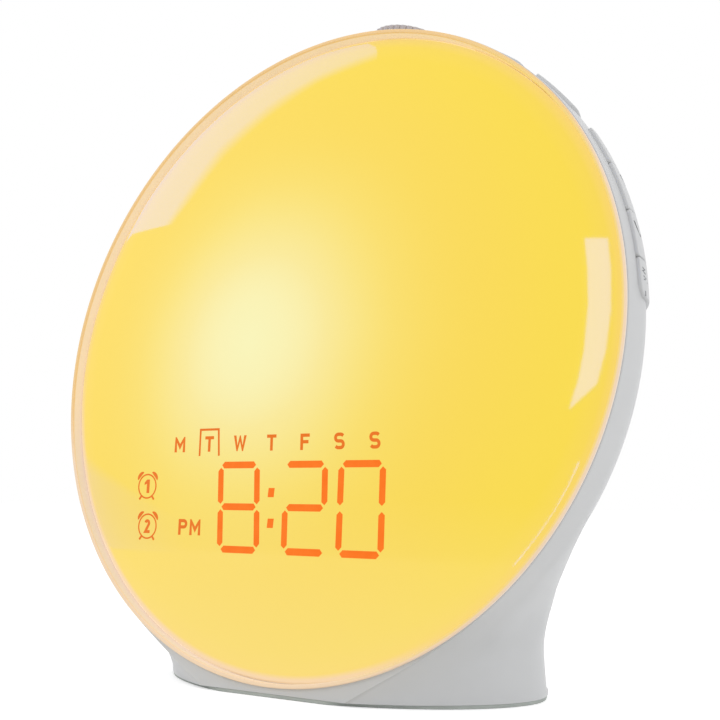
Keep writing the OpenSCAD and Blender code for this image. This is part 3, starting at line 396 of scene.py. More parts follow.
class Nodes:
    """Short ways to add nodes to a node tree."""

    def __init__(self, tree):
        self.tree = tree

    def feed(self, socket, value):
        """A socket takes another node's output or a plain value."""
        if isinstance(value, bpy.types.NodeSocket):
            self.tree.links.new(value, socket)
        else:
            socket.default_value = value

    def add(self, kind, feeds=None, **settings):
        node = self.tree.nodes.new("ShaderNode" + kind)
        for key, value in settings.items():
            setattr(node, key, value)
        for key, value in (feeds or {}).items():
            self.feed(node.inputs[key], value)
        return node

    def math(self, operation, first, second, **settings):
        feeds = {0: first, 1: second}
        return self.add("Math", feeds, operation=operation, **settings).outputs[0]

    def span(self, out, from_low, from_high, low=0.0, high=1.0):
        feeds = {"Value": out, "From Min": from_low, "From Max": from_high,
                 "To Min": low, "To Max": high}
        return self.add("MapRange", feeds).outputs["Result"]

    def camera_gloss(self):
        """1 for what the camera sees directly, in gloss or through glass, else 0."""
        path = self.add("LightPath").outputs
        total = path["Is Camera Ray"]
        for name in ("Is Glossy Ray", "Is Transmission Ray"):
            total = self.math("ADD", total, path[name], use_clamp=True)
        return total


class Look(Nodes):
    """A material with its node tree, and the textures that looks here use."""

    def __init__(self, name, colour, rough, metallic=0.0, specular=0.5):
        self.material = bpy.data.materials.new(name)
        self.material.use_nodes = True
        super().__init__(self.material.node_tree)
        self.shader = self.tree.nodes["Principled BSDF"]
        self.set("Base Color", colour)
        self.set("Roughness", rough)
        self.set("Metallic", metallic)
        self.set("Specular IOR Level", specular)
        self.coord = self.add("TexCoord").outputs["Object"]

    def set(self, socket, value):
        self.feed(self.shader.inputs[socket], value)

    def vector(self, operation, *feeds):
        node = self.add("VectorMath", dict(enumerate(feeds)), operation=operation)
        return node.outputs["Vector" if operation in ("SUBTRACT", "CROSS_PRODUCT") else "Value"]

    def noise(self, size_mm, detail, rough=0.5, distort=0.0, stretch=None):
        """Noise whose features are about size_mm across."""
        at = self.coord
        if stretch:
            at = self.add("Mapping", {"Scale": stretch, "Vector": at}).outputs["Vector"]
        feeds = {"Scale": 1 / (size_mm * MM), "Detail": detail, "Roughness": rough,
                 "Distortion": distort, "Vector": at}
        return self.add("TexNoise", feeds).outputs["Fac"]

    def cells(self, per_metre):
        feeds = {"Scale": per_metre, "Vector": self.coord}
        return self.add("TexVoronoi", feeds).outputs["Distance"]

    def ramp(self, out, stops, interpolation="LINEAR"):
        node = self.add("ValToRGB", {"Fac": out})
        node.color_ramp.interpolation = interpolation
        elements = node.color_ramp.elements
        while len(elements) < len(stops):
            elements.new(0.5)
        for element, (at, colour) in zip(elements, stops):
            element.position = at
            element.color = colour if len(colour) == 4 else (*colour, 1)
        return node.outputs["Color"]

    def zone(self, out, from_mm, to_mm, low=0.0, high=1.0):
        """A span over a length in metres whose ends are given in millimetres."""
        return self.span(out, from_mm * MM, to_mm * MM, low, high)

    def swing(self, noise, low, high):
        """A noise's usual range as values between low and high."""
        return self.span(noise, *NOISE_RANGE, low, high)

    def tones(self, noise, low, high):
        """A noise's usual range as colours between low and high."""
        return self.ramp(noise, list(zip(NOISE_RANGE, (low, high))))

    def mix(self, fac, first, second, mode="MIX"):
        """Mixes two colours; each is an output or a plain colour."""
        feeds = {0: fac, 6: first, 7: second}
        return self.add("Mix", feeds, data_type="RGBA", blend_type=mode).outputs[2]

    def bump(self, out, height_mm, strength, after=None):
        feeds = {"Strength": strength, "Distance": height_mm * MM, "Height": out}
        if after is not None:
            feeds["Normal"] = after
        return self.add("Bump", feeds).outputs["Normal"]

    def shade(self, colour, amount, size_mm):
        """The base colour varies by an amount round the given colour."""
        low = tuple(max(0, v * (1 - amount)) for v in colour[:3])
        high = tuple(min(1, v * (1 + amount)) for v in colour[:3])
        self.set("Base Color", self.tones(self.noise(size_mm, 3.0), low, high))

    def grain(self, rough_low, rough_high, grain_mm, grain_h):
        """The fine spark-eroded grain of moulded plastic, and its slight change of gloss."""
        self.set("Roughness", self.swing(self.noise(6, 3), rough_low, rough_high))
        fine = self.bump(self.noise(grain_mm, 2, 0.6), grain_h, 0.6)
        self.set("Normal", self.bump(self.noise(9, 1), 0.02, 0.35, fine))


# --- Camera, at the photograph's viewing angle ---

IMAGE = 720
FOCAL_PX = 1217.0
SENSOR = 36.0
CAMERA_AT = np.array([183.0, -259.9, 45.97])
YAW, PITCH, ROLL = (radians(v) for v in (-34.94, 6.56, 0.58))


def camera_axes():
    level = cos(PITCH)
    ahead = np.array([sin(YAW) * level, cos(YAW) * level, sin(PITCH)])
    right = np.array([cos(YAW), -sin(YAW), 0])
    up = np.cross(right, ahead)
    c, s = cos(ROLL), sin(ROLL)
    return c * right + s * up, -s * right + c * up, ahead


def place_camera():
    data = bpy.data.cameras.new("camera")
    data.sensor_fit = "HORIZONTAL"
    data.sensor_width = SENSOR
    data.lens = FOCAL_PX * SENSOR / IMAGE
    data.clip_start = 0.02
    data.clip_end = 30.0
    camera = add_object("camera", data)
    turn = Matrix([[RIGHT[i], UP[i], -AHEAD[i]] for i in range(3)]).to_4x4()
    camera.matrix_world = Matrix.Translation(Vector(CAMERA_AT * MM)) @ turn
    scene.camera = camera


RIGHT, UP, AHEAD = camera_axes()
place_camera()


def sight(px):
    """Direction in the world of the line of sight through a place in the 720-wide frame."""
    x, y = px[0] - IMAGE / 2, px[1] - IMAGE / 2
    v = x / FOCAL_PX * RIGHT - y / FOCAL_PX * UP + AHEAD
    return v / np.linalg.norm(v)


def dome_hit(origin, direction):
    """Where a line from a world point meets the lens dome, and the dome's normal there."""
    centre = disc_to_world([0, 0, DOME_C])
    o = origin - centre
    b = o @ direction
    t = -b - sqrt(max(0.0, b * b - (o @ o - DOME_R ** 2)))
    hit = origin + t * direction
    return hit, (hit - centre) / DOME_R


# --- Materials ---

GLOW_AT = (-13.7, -0.6)   # right, up on the disc
GLOW_FAR = 95.0
GLOW = {0: (249, 245, 188), 10.8: (250, 242, 181), 17: (250, 239, 172), 23: (250, 234, 158),
        33: (250, 229, 134), 43: (250, 223, 112), 56: (250, 219, 97), 70: (250, 219, 92),
        84: (250, 221, 86)}   # distance from the brightest place: display colour
STUDIO_GLOSS = 0.045   # how much the lens's mirrored surroundings add to its own light
SHELL_GREY = srgb(207, 208, 209)


def under_gloss(r, g, b):
    """The glow that shows as a display colour once the mirrored surroundings are added."""
    return tuple(max(0.0, v - STUDIO_GLOSS) for v in srgb(r, g, b)[:3]) + (1.0,)


def from_disc(look):
    """Place measured from the middle of the disc's front, in metres."""
    return look.vector("SUBTRACT", look.coord, (0, DISC_Y * MM, DISC_Z * MM))


def along_disc(look, right, up, depth):
    """A sum of shares of the way right, up and behind on the disc, in metres."""
    s, k = sin(LEAN), cos(LEAN)
    return look.vector("DOT_PRODUCT", from_disc(look),
                       (right, up * s + depth * k, up * k - depth * s))


def disc_radius(look):
    """Distance from the disc's axis, in metres."""
    axis = (0, cos(LEAN), -sin(LEAN))
    return look.vector("LENGTH", look.vector("CROSS_PRODUCT", from_disc(look), axis))


def lens_look():
    """Milky lens lit from inside: brightest in front of the lamp board, deeper to the rim. Its
    paler lower part, its paler band along the rim and its pale lower left edge are painted
    reflections.
    """
    look = Look("lens_milky_glow", (0.3, 0.24, 0.06, 1), 0.035)
    ahead = disc_to_world([0, 0, 1]) - disc_to_world([0, 0, 0])
    brightest, _ = dome_hit(disc_to_world([*GLOW_AT, -100]), ahead)
    away = look.vector("DISTANCE", look.coord, tuple(brightest * MM))
    away = look.math("ADD", look.math("DIVIDE", away, GLOW_FAR * MM),
                     look.swing(look.noise(30, 1), -0.008, 0.008))
    glow = look.ramp(away, [(d / GLOW_FAR, under_gloss(*c)) for d, c in GLOW.items()], "B_SPLINE")
    # Painted reflection: the lens turns paler towards its bottom.
    low = look.zone(along_disc(look, 0, 1, 0), -40, -84, 0.0, 0.45)
    glow = look.mix(low, glow, under_gloss(250, 226, 158))
    # Painted reflection: a paler band along the lens's rim.
    rim = look.ramp(look.zone(disc_radius(look), 76, 82.6),
                    [(0.0, (0, 0, 0)), (0.6, (0.15, 0.15, 0.15)), (1.0, (0.8, 0.8, 0.8))])
    glow = look.mix(rim, glow, under_gloss(250, 218, 132))
    # Painted reflection: a pale pinkish band on the lens's lower left edge.
    painted_edge_reflection = look.math("MULTIPLY", look.zone(disc_radius(look), 80.8, 82.0),
                                look.zone(along_disc(look, 0.5, 1, 0), -45, -70))
    glow = look.mix(painted_edge_reflection, glow, under_gloss(247, 217, 178))
    look.set("Emission Color", glow)
    look.set("Emission Strength", 0.70)
    look.set("Base Color", look.mix(1.0, glow, (0.34, 0.34, 0.34, 1), "MULTIPLY"))
    look.set("Normal", look.bump(look.noise(25, 1), 0.004, 0.3))
    return look.material


def ring_look():
    """Pale translucent rim that carries some of the lamp's light, painted in as glow: tan above,
    cream low down, its lip and the wall behind it as lit and shaded copies of one colour, and
    painted yellow light of the lens inside its lip on the right."""
    look = Look("ring_peach", srgb(235, 200, 160), 0.25, specular=0.3)
    # Lip and the wall behind it: lit and shaded copies of the rim's colour, painted light.
    behind = look.zone(along_disc(look, 0, 0, 1), 0.2, 0.7)
    low = look.zone(along_disc(look, -0.42, 1, 0), 22.5, 2.5)
    # Painted light of the lens: yellower inside the lip on the right.
    inner = look.math("MULTIPLY", look.zone(disc_radius(look), 83.3, 83.75, 1.0, 0.0),
                      look.zone(along_disc(look, 1, -0.1, 0), 25, 55))

    def areas(top, top_behind, bottom, bottom_behind):
        return look.mix(low, look.mix(behind, top, top_behind),
                        look.mix(behind, bottom, bottom_behind))

    base = areas(srgb(220, 189, 137), (0.75, 0.68, 0.6, 1),
                 srgb(223, 197, 167), (0.68, 0.62, 0.55, 1))
    # Painted glow of the lamp's light in the rim, different for each area.
    glow = areas((0.184, 0.103, 0.038, 1), (0.22, 0.15, 0.12, 1),
                 (0.19, 0.15, 0.11, 1), (0.21, 0.16, 0.14, 1))
    look.set("Base Color", look.mix(inner, base, srgb(226, 197, 118)))
    look.set("Emission Color", look.mix(inner, glow, (0.2, 0.15, 0.05, 1)))
    look.set("Emission Strength", look.swing(look.noise(10, 2), 0.96, 1.04))
    look.set("Roughness", look.swing(look.noise(8, 2), 0.2, 0.3))
    look.set("Normal", look.bump(look.noise(0.8, 2), 0.004, 0.4))
    return look.material


def shell_look():
    """Housing: moulded grey, with painted shade on the foot's flat front that deepens towards its
    right.
    """
    look = Look("shell_grey", SHELL_GREY, 0.42)
    # Painted shade: darker grey on the foot's flat front, deeper towards its right.
    deep = tuple(v * 0.875 for v in SHELL_GREY[:3]) + (1,)
    right = look.mix(look.zone(along_disc(look, 1, 0, 0), -45, 15), SHELL_GREY, deep)
    shaded_front = look.zone(along_disc(look, 0, 0, 1), 0.9, 1.5, 1.0, 0.0)
    tone = look.tones(look.noise(14, 3.0), (0.976,) * 3, (1.0,) * 3)
    look.set("Base Color", look.mix(1.0, look.mix(shaded_front, SHELL_GREY, right), tone, "MULTIPLY"))
    look.grain(0.386, 0.454, 0.28, 0.006)
    return look.material


def moulded(name, colour, rough, grain_mm, grain_h, vary):
    """Moulded plastic with a slight change of tone."""
    look = Look(name, colour, rough)
    look.shade(colour, vary, 14)
    look.grain(rough * 0.92, rough * 1.08, grain_mm, grain_h)
    return look.material


def metal(name, colour, rough, stretch=(1, 1, 14)):
    """Plated or turned metal: fine lines and faint stains."""
    look = Look(name, colour, rough, metallic=1.0)
    look.shade(colour, 0.08, 3)
    lines = look.noise(0.6, 3, 0.6, stretch=stretch)
    look.set("Roughness", look.swing(lines, rough * 0.75, rough * 1.3))
    look.set("Normal", look.bump(lines, 0.004, 0.5))
    return look.material


def display_look(name, low, high):
    """Orange light of the display, seen through the lens."""
    look = Look(name, (0.15, 0.02, 0.002, 1), 0.4, specular=0.1)
    look.set("Emission Color", look.tones(look.noise(3, 2), low, high))
    look.set("Emission Strength", 0.88)
    return look.material


def rubber_look(name, colour, rough, grain, h):
    """Rubber, foam, ferrite or a lead's sleeve, by the size and height of its grain."""
    look = Look(name, colour, rough, specular=0.35)
    look.shade(colour, 0.06, 5)
    look.set("Normal", look.bump(look.noise(grain, 3, 0.6), h, 0.6))
    look.set("Roughness", look.swing(look.noise(4, 2), rough * 0.9, rough))
    return look.material


def board_look():
    """Circuit board: green solder mask over traces, with copper pads."""
    look = Look("board_green", (0.02, 0.16, 0.07, 1), 0.35)
    traces = look.add("TexBrick", {
        "Scale": 260, "Mortar Size": 0.045, "Color1": (0.02, 0.15, 0.06, 1),
        "Color2": (0.025, 0.18, 0.075, 1), "Mortar": (0.05, 0.28, 0.12, 1), "Vector": look.coord})
    pads = look.span(look.cells(330), 0.13, 0.1)
    look.set("Base Color", look.mix(pads, traces.outputs["Color"], (0.55, 0.5, 0.4, 1)))
    look.set("Normal", look.bump(traces.outputs["Fac"], 0.03, 0.4))
    return look.material


def diode_look(name, colour, strength):
    """A light emitting diode: a yellow phosphor patch in a pale package."""
    look = Look(name, colour, 0.3)
    dimmer = tuple(v * 0.75 for v in colour[:3])
    look.set("Emission Color", look.ramp(look.cells(900), [(0.0, colour), (0.6, dimmer)]))
    look.set("Emission Strength", strength)
    return look.material


def cone_look():
    """Coated paper cone with its felted fibres."""
    look = Look("cone_paper", (0.03, 0.03, 0.032, 1), 0.8, specular=0.2)
    look.shade((0.03, 0.03, 0.032), 0.3, 0.8)
    look.set("Normal", look.bump(look.noise(0.5, 4, 0.7, 1.0), 0.05, 0.7))
    return look.material


def mark_look(name, colour, vary):
    """Printed mark on a key."""
    look = Look(name, colour, 0.5)
    look.shade(colour, vary, 1.5)
    return look.material


LOOKS = {
    "lens": lens_look(),
    "ring": ring_look(),
    "shell": shell_look(),
    "keys": moulded("key_grey", srgb(204, 205, 206), 0.36, 0.22, 0.004, 0.012),
    "white_plastic": moulded("white_plastic", (0.82, 0.82, 0.8, 1), 0.3, 0.4, 0.004, 0.02),
    "foam": rubber_look("foam_black", (0.05, 0.05, 0.05, 1), 0.95, 0.6, 0.12),
    "board": board_look(),
    "warm_light": diode_look("warm_diodes", (0.95, 0.75, 0.25, 1), 0.5),
    "colour_light": diode_look("colour_diodes", (0.9, 0.87, 0.8, 1), 0.25),
    "display_light": display_look("display_orange", srgb(248, 118, 28), srgb(251, 126, 36)),
    "small_marks": display_look("marks_orange", srgb(226, 118, 34), srgb(232, 124, 40)),
    "black_plastic": moulded("black_plastic", (0.03, 0.03, 0.032, 1), 0.4, 0.3, 0.008, 0.15),
    "steel": metal("zinc_steel", (0.62, 0.62, 0.63, 1), 0.3),
    "brass": metal("brass_plated", (0.72, 0.56, 0.28, 1), 0.25),
    "magnet": rubber_look("ferrite", (0.05, 0.05, 0.055, 1), 0.55, 0.7, 0.03),
    "paper_cone": cone_look(),
    "grille": moulded("grille_grey", srgb(186, 187, 188), 0.45, 0.3, 0.006, 0.015),
    "knob": moulded("knob_grey", srgb(188, 178, 175), 0.3, 0.3, 0.005, 0.03),
    "shaft": metal("turned_aluminium", (0.72, 0.72, 0.73, 1), 0.28, (1, 1, 20)),
    "base": moulded("base_grey", (0.42, 0.43, 0.43, 1), 0.5, 0.5, 0.01, 0.03),
    "pad": rubber_look("pad_green_grey", srgb(176, 182, 177), 0.7, 0.6, 0.02),
    "key_mark": mark_look("key_mark_grey", srgb(112, 114, 117), 0.05),
    "dark_key_mark": mark_look("key_mark_dark", srgb(52, 53, 56), 0.08),
}
LEADS = {"lead_red": (0.5, 0.04, 0.035, 1), "lead_white": (0.75, 0.75, 0.72, 1),
         "lead_yellow": (0.7, 0.52, 0.1, 1), "lead_black": (0.04, 0.04, 0.04, 1)}
for name, colour in LEADS.items():
    LOOKS[name] = rubber_look(name, colour, 0.45, 0.8, 0.01)
for part in frame["record"]["subparts"]:
    materials = nodes[part["node"]].data.materials
    materials.clear()
    materials.append(LOOKS[part["material_slot"]])

# --- Lens and ring ---

def quarter(steps):
    return np.linspace(0, pi / 2, steps)


def bend(at, r, angles):
    """Points [radius, depth] on a circle about a place, by their angle from its front."""
    return [(at[0] + r * sin(a), at[1] - r * cos(a)) for a in angles]


def lens_dome():
    """A spherical cap with a rounded shoulder and an even wall."""
    r, round_r = LENS_R - SHOULDER_R, DOME_R - SHOULDER_R
    turn = asin(r / round_r)
    shoulder_c = DOME_C - sqrt(round_r ** 2 - r ** 2)
    inner_r = DOME_R - LENS_WALL
    inner_turn = asin(sqrt(inner_r ** 2 - (DOME_C - FLANGE_C) ** 2) / inner_r)
    profile = bend((0, DOME_C), DOME_R, np.linspace(0, turn, 48))
    profile += bend((r, shoulder_c), SHOULDER_R, np.linspace(turn, pi / 2, 14)[1:])
    profile += [(LENS_R, FLANGE_C)]
    profile += bend((0, DOME_C), inner_r, np.linspace(inner_turn, 0, 12))
    return turned("lens_dome", profile)


def rim_ring():
    """A pale rim with rounded edges, a ledge for the lens and a spigot into the housing."""
    inner, outer, bead = DISC_R - LIP_W, RING_OUTER_ROUND, RING_INNER_ROUND
    profile = bend((DISC_R - outer, outer), outer, quarter(8))
    profile += [(DISC_R, SHELL_FRONT), (SPIGOT_R, SHELL_FRONT), (SPIGOT_R, LEDGE_BACK),
                (inner - LEDGE_W, LEDGE_BACK), (inner - LEDGE_W, LEDGE_C), (inner, LEDGE_C)]
    profile += [(inner + bead - bead * cos(a), bead - bead * sin(a)) for a in quarter(6)]
    return turned("rim_ring", profile, 288)


finish_piece(lens_dome(), "clock", "lens", "front_lens")
ring = rim_ring()
finish_piece(ring, "clock", "ring", "lens_ring")
ring.visible_glossy = False   # the lens mirrors the studio at its edge, not the rim's wall

# --- Housing ---

BEYOND = 130.0   # further than the body reaches from any place on its front


def leave(inside, near, far):
    """How far out lines leave the inside, found by halving the way from near to far."""
    for _ in range(34):
        mid = (near + far) / 2
        within = inside(mid)
        near, far = np.where(within, mid, near), np.where(within, far, mid)
    return mid


def skin(inset, depth, low_rows, top_rows, cols):
    """Level slices of the body: rays fan out backwards from a plane parallel to the disc."""
    top = disc_to_world([0, float(bowl_radius(depth, inset)), depth])
    low = FOOT_Z + (FOOT_FADE_Z - FOOT_Z) * np.linspace(0, 1, low_rows) ** 1.25
    steps = np.arange(1, top_rows + 1) / (top_rows + 1)
    high = FOOT_FADE_Z + (top[2] - FOOT_FADE_Z) * np.sin(pi / 2 * steps)
    z = np.concatenate([low, high])[:, None]
    i, h = np.arange(cols + 1), cols / 2
    t = pi / 2 * (1 - np.cos(pi / 2 * np.minimum(i, cols - i) / h))
    t = np.where(i <= h, t, pi - t)[None, :]

    def place(reach):
        return np.stack([reach * np.cos(t), plane_y(z, depth) + reach * np.sin(t),
                         np.broadcast_to(z, reach.shape)], -1)

    start = np.zeros((len(z), cols + 1))
    reach = leave(lambda r: body_field(place(r), inset) < 0, start, start + BEYOND)
    return np.concatenate([place(reach).reshape(-1, 3), top[None]]), len(z)


def skin_faces(first, n, rows, w):
    """Faces of a skin's slices, its top and its flat front."""
    last = (rows - 1) * w
    faces = grid_faces(rows, w)
    faces += [(last + i, last + i + 1, n - 1) for i in range(w - 1)]
    faces += [(j * w + w - 1, j * w, (j + 1) * w, (j + 1) * w + w - 1) for j in range(rows - 1)]
    faces += [(last + w - 1, last, n - 1)]
    return [tuple(first + v for v in face) for face in faces]


def body_wall():
    """The hollow body between its outer and inner skins."""
    cols = 168
    low_rows, top_rows = ((96, 60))
    outer, rows = skin(0.0, SHELL_FRONT, low_rows, top_rows, cols)
    inner, _ = skin(SHELL_WALL, SHELL_FRONT + SHELL_WALL, low_rows, top_rows, cols)
    n, w = len(outer), cols + 1
    faces = skin_faces(0, n, rows, w)
    faces += [tuple(reversed(f)) for f in skin_faces(n, n, rows, w)]
    faces += [(i + 1, i, n + i, n + i + 1) for i in range(cols)] + [(0, cols, n + cols, n)]
    return add_mesh("housing", np.concatenate([outer, inner]), faces)


def pocket_wall(seat):
    """The wall of the grille's pocket, up to just under the skin."""
    n = 192
    t = around(n)
    inner, outer = GRILLE_R - POCKET_OVERLAP, GRILLE_R + POCKET_T
    rows = []
    for r, deep in ((inner, False), (outer, False), (outer, True), (inner, True)):
        a, b = r * np.cos(t), r * np.sin(t)
        low = np.full(n, seat - 1.0)
        skin_c = leave(lambda c: body_field(disc_to_world(np.stack([a, b, c], -1)), 0.0) < 0,
                       np.full(n, 20.0), np.full(n, 80.0))
        rows.append(np.stack([a, b, skin_c - POCKET_SHORT if deep else low], -1))
    return loft("pocket_wall", rows, disc_to_world, True)


def toe():
    """The foot's edge round the base plate."""
    edge = foot_oval(FOOT_W / 2 - TOE_INSET, FOOT_D / 2 - TOE_INSET, TOE_INSET - FOOT_D / 2)
    hollow = foot_oval(FOOT_W / 2 - SHELL_WALL, FOOT_D / 2 - SHELL_WALL - 0.6,
                       SHELL_WALL - FOOT_D / 2)
    ring = prism("toe", edge, FOOT_Z, FOOT_Z + TOE_T, in_place)
    return combine(ring, [prism("hollow", hollow, FOOT_Z - 1, FOOT_Z + TOE_T + 1, in_place)],
                   "DIFFERENCE")


def housing():
    """The moulding: its body with collar, pocket and jack seat, and the openings in it. What
    joins it starts inside its wall, and what cuts it reaches past it."""
    seat = float(bowl_depth_at(GRILLE_R)) - GRILLE_SEAT
    wall = body_wall()
    combine(wall, [
        toe(), pipe("ledge", CONE_R, GRILLE_LEDGE_R, seat - 2, seat + 1.4, 128), pocket_wall(seat),
        prism("collar", circle(KNOB_R - 1, 96), BODY_IN - 0.5, COLLAR_TOP, on_knob),
        prism("jack_seat", circle(JACK_SEAT_R), -SHELL_WALL, 0, on_jack)], "UNION")
    cutters = [pipe("front_hole", 0, SPIGOT_R + 0.2, -20, BOWL_START - 0.5, 288)]
    gap = degrees(KEY_GAP / SHELL_R)
    for low, high in KEY_OPENINGS:
        corner = LOW_OPENING_ROUND if (low, high) == KEY_OPENINGS[-1] else OPENING_ROUND
        outline = key_outline(low - gap, high + gap, KEY_FRONT - KEY_GAP,
                              KEY_FRONT + KEY_W + KEY_GAP, OPENING_ROUND, corner)
        cutters.append(rim_prism("opening", outline, BODY_IN, SHELL_R + 5))
    cutters += [
        prism("bush_hole", circle(BUSH_HOLE_R, 48), BODY_IN - 2, COLLAR_TOP + 2, on_knob),
        prism("nut_hole", circle(NUT_HOLE_R), COLLAR_TOP - NUT_HOLE_D, COLLAR_TOP + 2, on_knob),
        pipe("grille_hole", 0, GRILLE_R + GRILLE_GAP, seat, seat + 20, 192),
        pipe("cone_hole", 0, CONE_R, seat - 8, seat + 20, 128),
        prism("jack_recess", circle(JACK_RECESS_R), 0, 20, on_jack),
        prism("jack_hole", circle(JACK_HOLE_R), -8, 20, on_jack)]
    return cut(wall, cutters, 28)


def key_outline(low, high, front, back, radius, corner):
    """A rounded outline in [degrees round the rim, depth]; the radius of its lower front corner
    is given apart."""
    k = degrees(1 / SHELL_R)
    out = []
    for t, c, r, start in ((high, back, radius, 0), (low, back, radius, 90),
                           (low, front, corner, 180), (high, front, radius, 270)):
        st, sc = (-1 if t == high else 1), (-1 if c == back else 1)
        for a in np.radians(np.linspace(start, start + 90, 9)):
            out.append((t + k * (st * r + r * cos(a)), c + sc * r + r * sin(a)))
    return out


def middle_line(outline):
    """For each place of an outline on the rim, the place opposite it on its middle line."""
    k = degrees(1 / SHELL_R)
    (low_t, low_c), (high_t, high_c) = outline.min(0), outline.max(0)
    half = min((high_t - low_t) / 2 / k, (high_c - low_c) / 2)
    t, c = outline.T
    if high_t - low_t > high_c * k - low_c * k:
        return np.column_stack([np.clip(t, low_t + half * k, high_t - half * k),
                                np.full(len(t), (low_c + high_c) / 2)])
    return np.column_stack([np.full(len(t), (low_t + high_t) / 2),
                            np.clip(c, low_c + half, high_c - half)])


def rim_prism(name, outline, low, high):
    """A block through the rim over an outline, cut finely enough to follow the rim's curve."""
    loops = 8
    edge = np.asarray(outline, float)
    m, n = len(edge), len(edge) * loops
    flat = np.concatenate([edge + (middle_line(edge) - edge) * f
                           for f in np.linspace(0, 1, loops)])
    pts = [np.column_stack([flat, np.full(n, r)]) for r in (low, high)]
    faces = [face for f in grid_faces(loops, m, False, True)
             for face in (f, tuple(n + v for v in reversed(f)))]
    faces += [(i, n + i, n + (i + 1) % m, (i + 1) % m) for i in range(m)]
    return add_mesh(name, on_rim(np.concatenate(pts)), faces)


shell = housing()
finish_piece(shell, "clock", "shell", "rear_housing")
shell.visible_glossy = False

# --- Keys ---

KEYS_OVER_A_KEY, KEYS_UNDER_A_KEY = (2, 3, 4), (3, 4, 5)   # by index, in one opening


def dense(outline, step):
    """The outline with its long straight edges divided, so that it follows the rim."""
    out = []
    for (a, c), (a2, c2) in zip(outline, outline[1:] + outline[:1]):
        length = hypot((a2 - a) * radians(SHELL_R), c2 - c)
        n = max(1, int(round(length / step)))
        out += [(a + (a2 - a) * i / n, c + (c2 - c) * i / n) for i in range(n)]
    return np.array(out)


def side_key(index):
    """A key's cap over the rim, with a rounded edge."""
    k = degrees(1 / SHELL_R)
    low = KEYS[index][0] - k * (CAP_GROWTH if index in KEYS_OVER_A_KEY else CAP_REACH)
    high = KEYS[index][1] + k * (CAP_GROWTH if index in KEYS_UNDER_A_KEY else CAP_REACH)
    corner = KEY_FRONT_ROUND
    if index == len(KEYS) - 1:
        low, corner = low + LOW_KEY_LIFT, LOW_KEY_ROUND
    edge = dense(key_outline(low, high, KEY_FRONT - CAP_REACH, KEY_FRONT + KEY_W + CAP_REACH,
                             KEY_ROUND, corner), SHELL_R / 80)
    inwards = middle_line(edge) - edge
    length = np.maximum(np.linalg.norm(inwards / [k, 1], axis=1), 1e-6)[:, None]
    rows = []
    for f in np.linspace(1, 0, 8):
        p = edge + inwards * f
        rows.append(np.column_stack([p, bowl_radius(p[:, 1], SHELL_WALL) - KEY_SINK]))
    for a in quarter(6):
        p = edge + inwards * KEY_EDGE * (1 - cos(a)) / length
        drop = KEY_EDGE * (1 - sin(a))
        rows.append(np.column_stack([p, bowl_radius(p[:, 1]) + KEY_PROUD - drop]))
    for f in np.linspace(0, 1, 14)[1:]:
        p = edge + inwards * (KEY_EDGE / length * (1 - f) + f)
        rows.append(np.column_stack([p, bowl_radius(p[:, 1]) + KEY_PROUD]))
    return loft(f"side_key_{index + 1}_cap", rows, on_rim)


for index in range(len(KEYS)):
    number = index + 1
    finish_piece(side_key(index), f"key_{number}", "keys", f"side_key_{number}")

# --- Knob ---

def knob():
    """A dished cap with a ribbed edge, hollow under it but for its hub."""
    low, top, under, hub_low = KNOB_LOW, KNOB_TOP, KNOB_TOP - KNOB_CAP_T, COLLAR_TOP + KNOB_HUB_LIFT
    profile = np.array([
        # Radius, height and how deep the ribs are there.
        (0, top - 0.12, 0), (3, top - 0.11, 0), (6, top - 0.07, 0), (8.2, top - 0.01, 0),
        (KNOB_R - 1.3, top, 0), (KNOB_R - 0.85, top - 0.04, 0.1),
        (KNOB_R - 0.55, top - 0.17, 0.5), (KNOB_R - 0.35, top - 0.4, 1),
        (KNOB_R - 0.32, low + 0.3, 1), (KNOB_R - 0.5, low, 0.6), (KNOB_R - 1.7, low, 0),
        (KNOB_R - 1.7, under, 0), (KNOB_HUB_R, under, 0), (KNOB_HUB_R, hub_low, 0),
        (KNOB_BORE_R, hub_low, 0), (KNOB_BORE_R, under, 0), (0, under, 0)])
    radius, height, ribbed = profile.T
    rows = []
    for t in around(KNOB_RIBS * 12):
        wave = abs(cos(t * KNOB_RIBS / 2)) ** 0.8 - 0.55
        r = radius + wave * KNOB_RIB_H * ribbed
        rows.append(np.column_stack([r * cos(t), r * sin(t), height]))
    return loft("knob_cap", rows, on_knob, True, 40)


finish_piece(knob(), "knob_body", "knob", "knob")

# --- Pad under the foot ---

def pad():
    """A plate with rounded edges that follows the foot's outline, with holes for what it hides."""
    half_w, n = FOOT_W / 2 - PAD_EDGE, 480
    face_y = float(plane_y(FOOT_Z, SHELL_FRONT)) + PAD_EDGE
    rim = foot_oval(half_w, FOOT_D / 2 - PAD_EDGE, PAD_EDGE - FOOT_D / 2 - TOE_REACH, n)
    rim[:, 1] = np.maximum(rim[:, 1], face_y)
    rows = []
    for inset, z in ((0.25, 0), (0.07, 0.07), (0, 0.25), (0, PAD_T - 0.12), (0.08, PAD_T)):
        rows.append(np.column_stack([rim * (1 - inset / np.array([half_w, -face_y])),
                                     np.full(n, z)]))
    faces = grid_faces(5, n, False, True) + [tuple(reversed(range(n))), tuple(range(4 * n, 5 * n))]
    holes = [prism("hole", circle(SCREW_HOLE_R, 48, at), -1, 2, in_place) for at in BASE_SCREWS]
    holes.append(prism("hole", circle(DOOR_OPEN_R, 128, DOOR_AT), -1, 2, in_place))
    return cut(add_mesh("foot_pad", np.concatenate(rows), faces), holes, 30)


finish_piece(pad(), "clock", "pad", "base_pad")

# --- The display's light on the lens ---

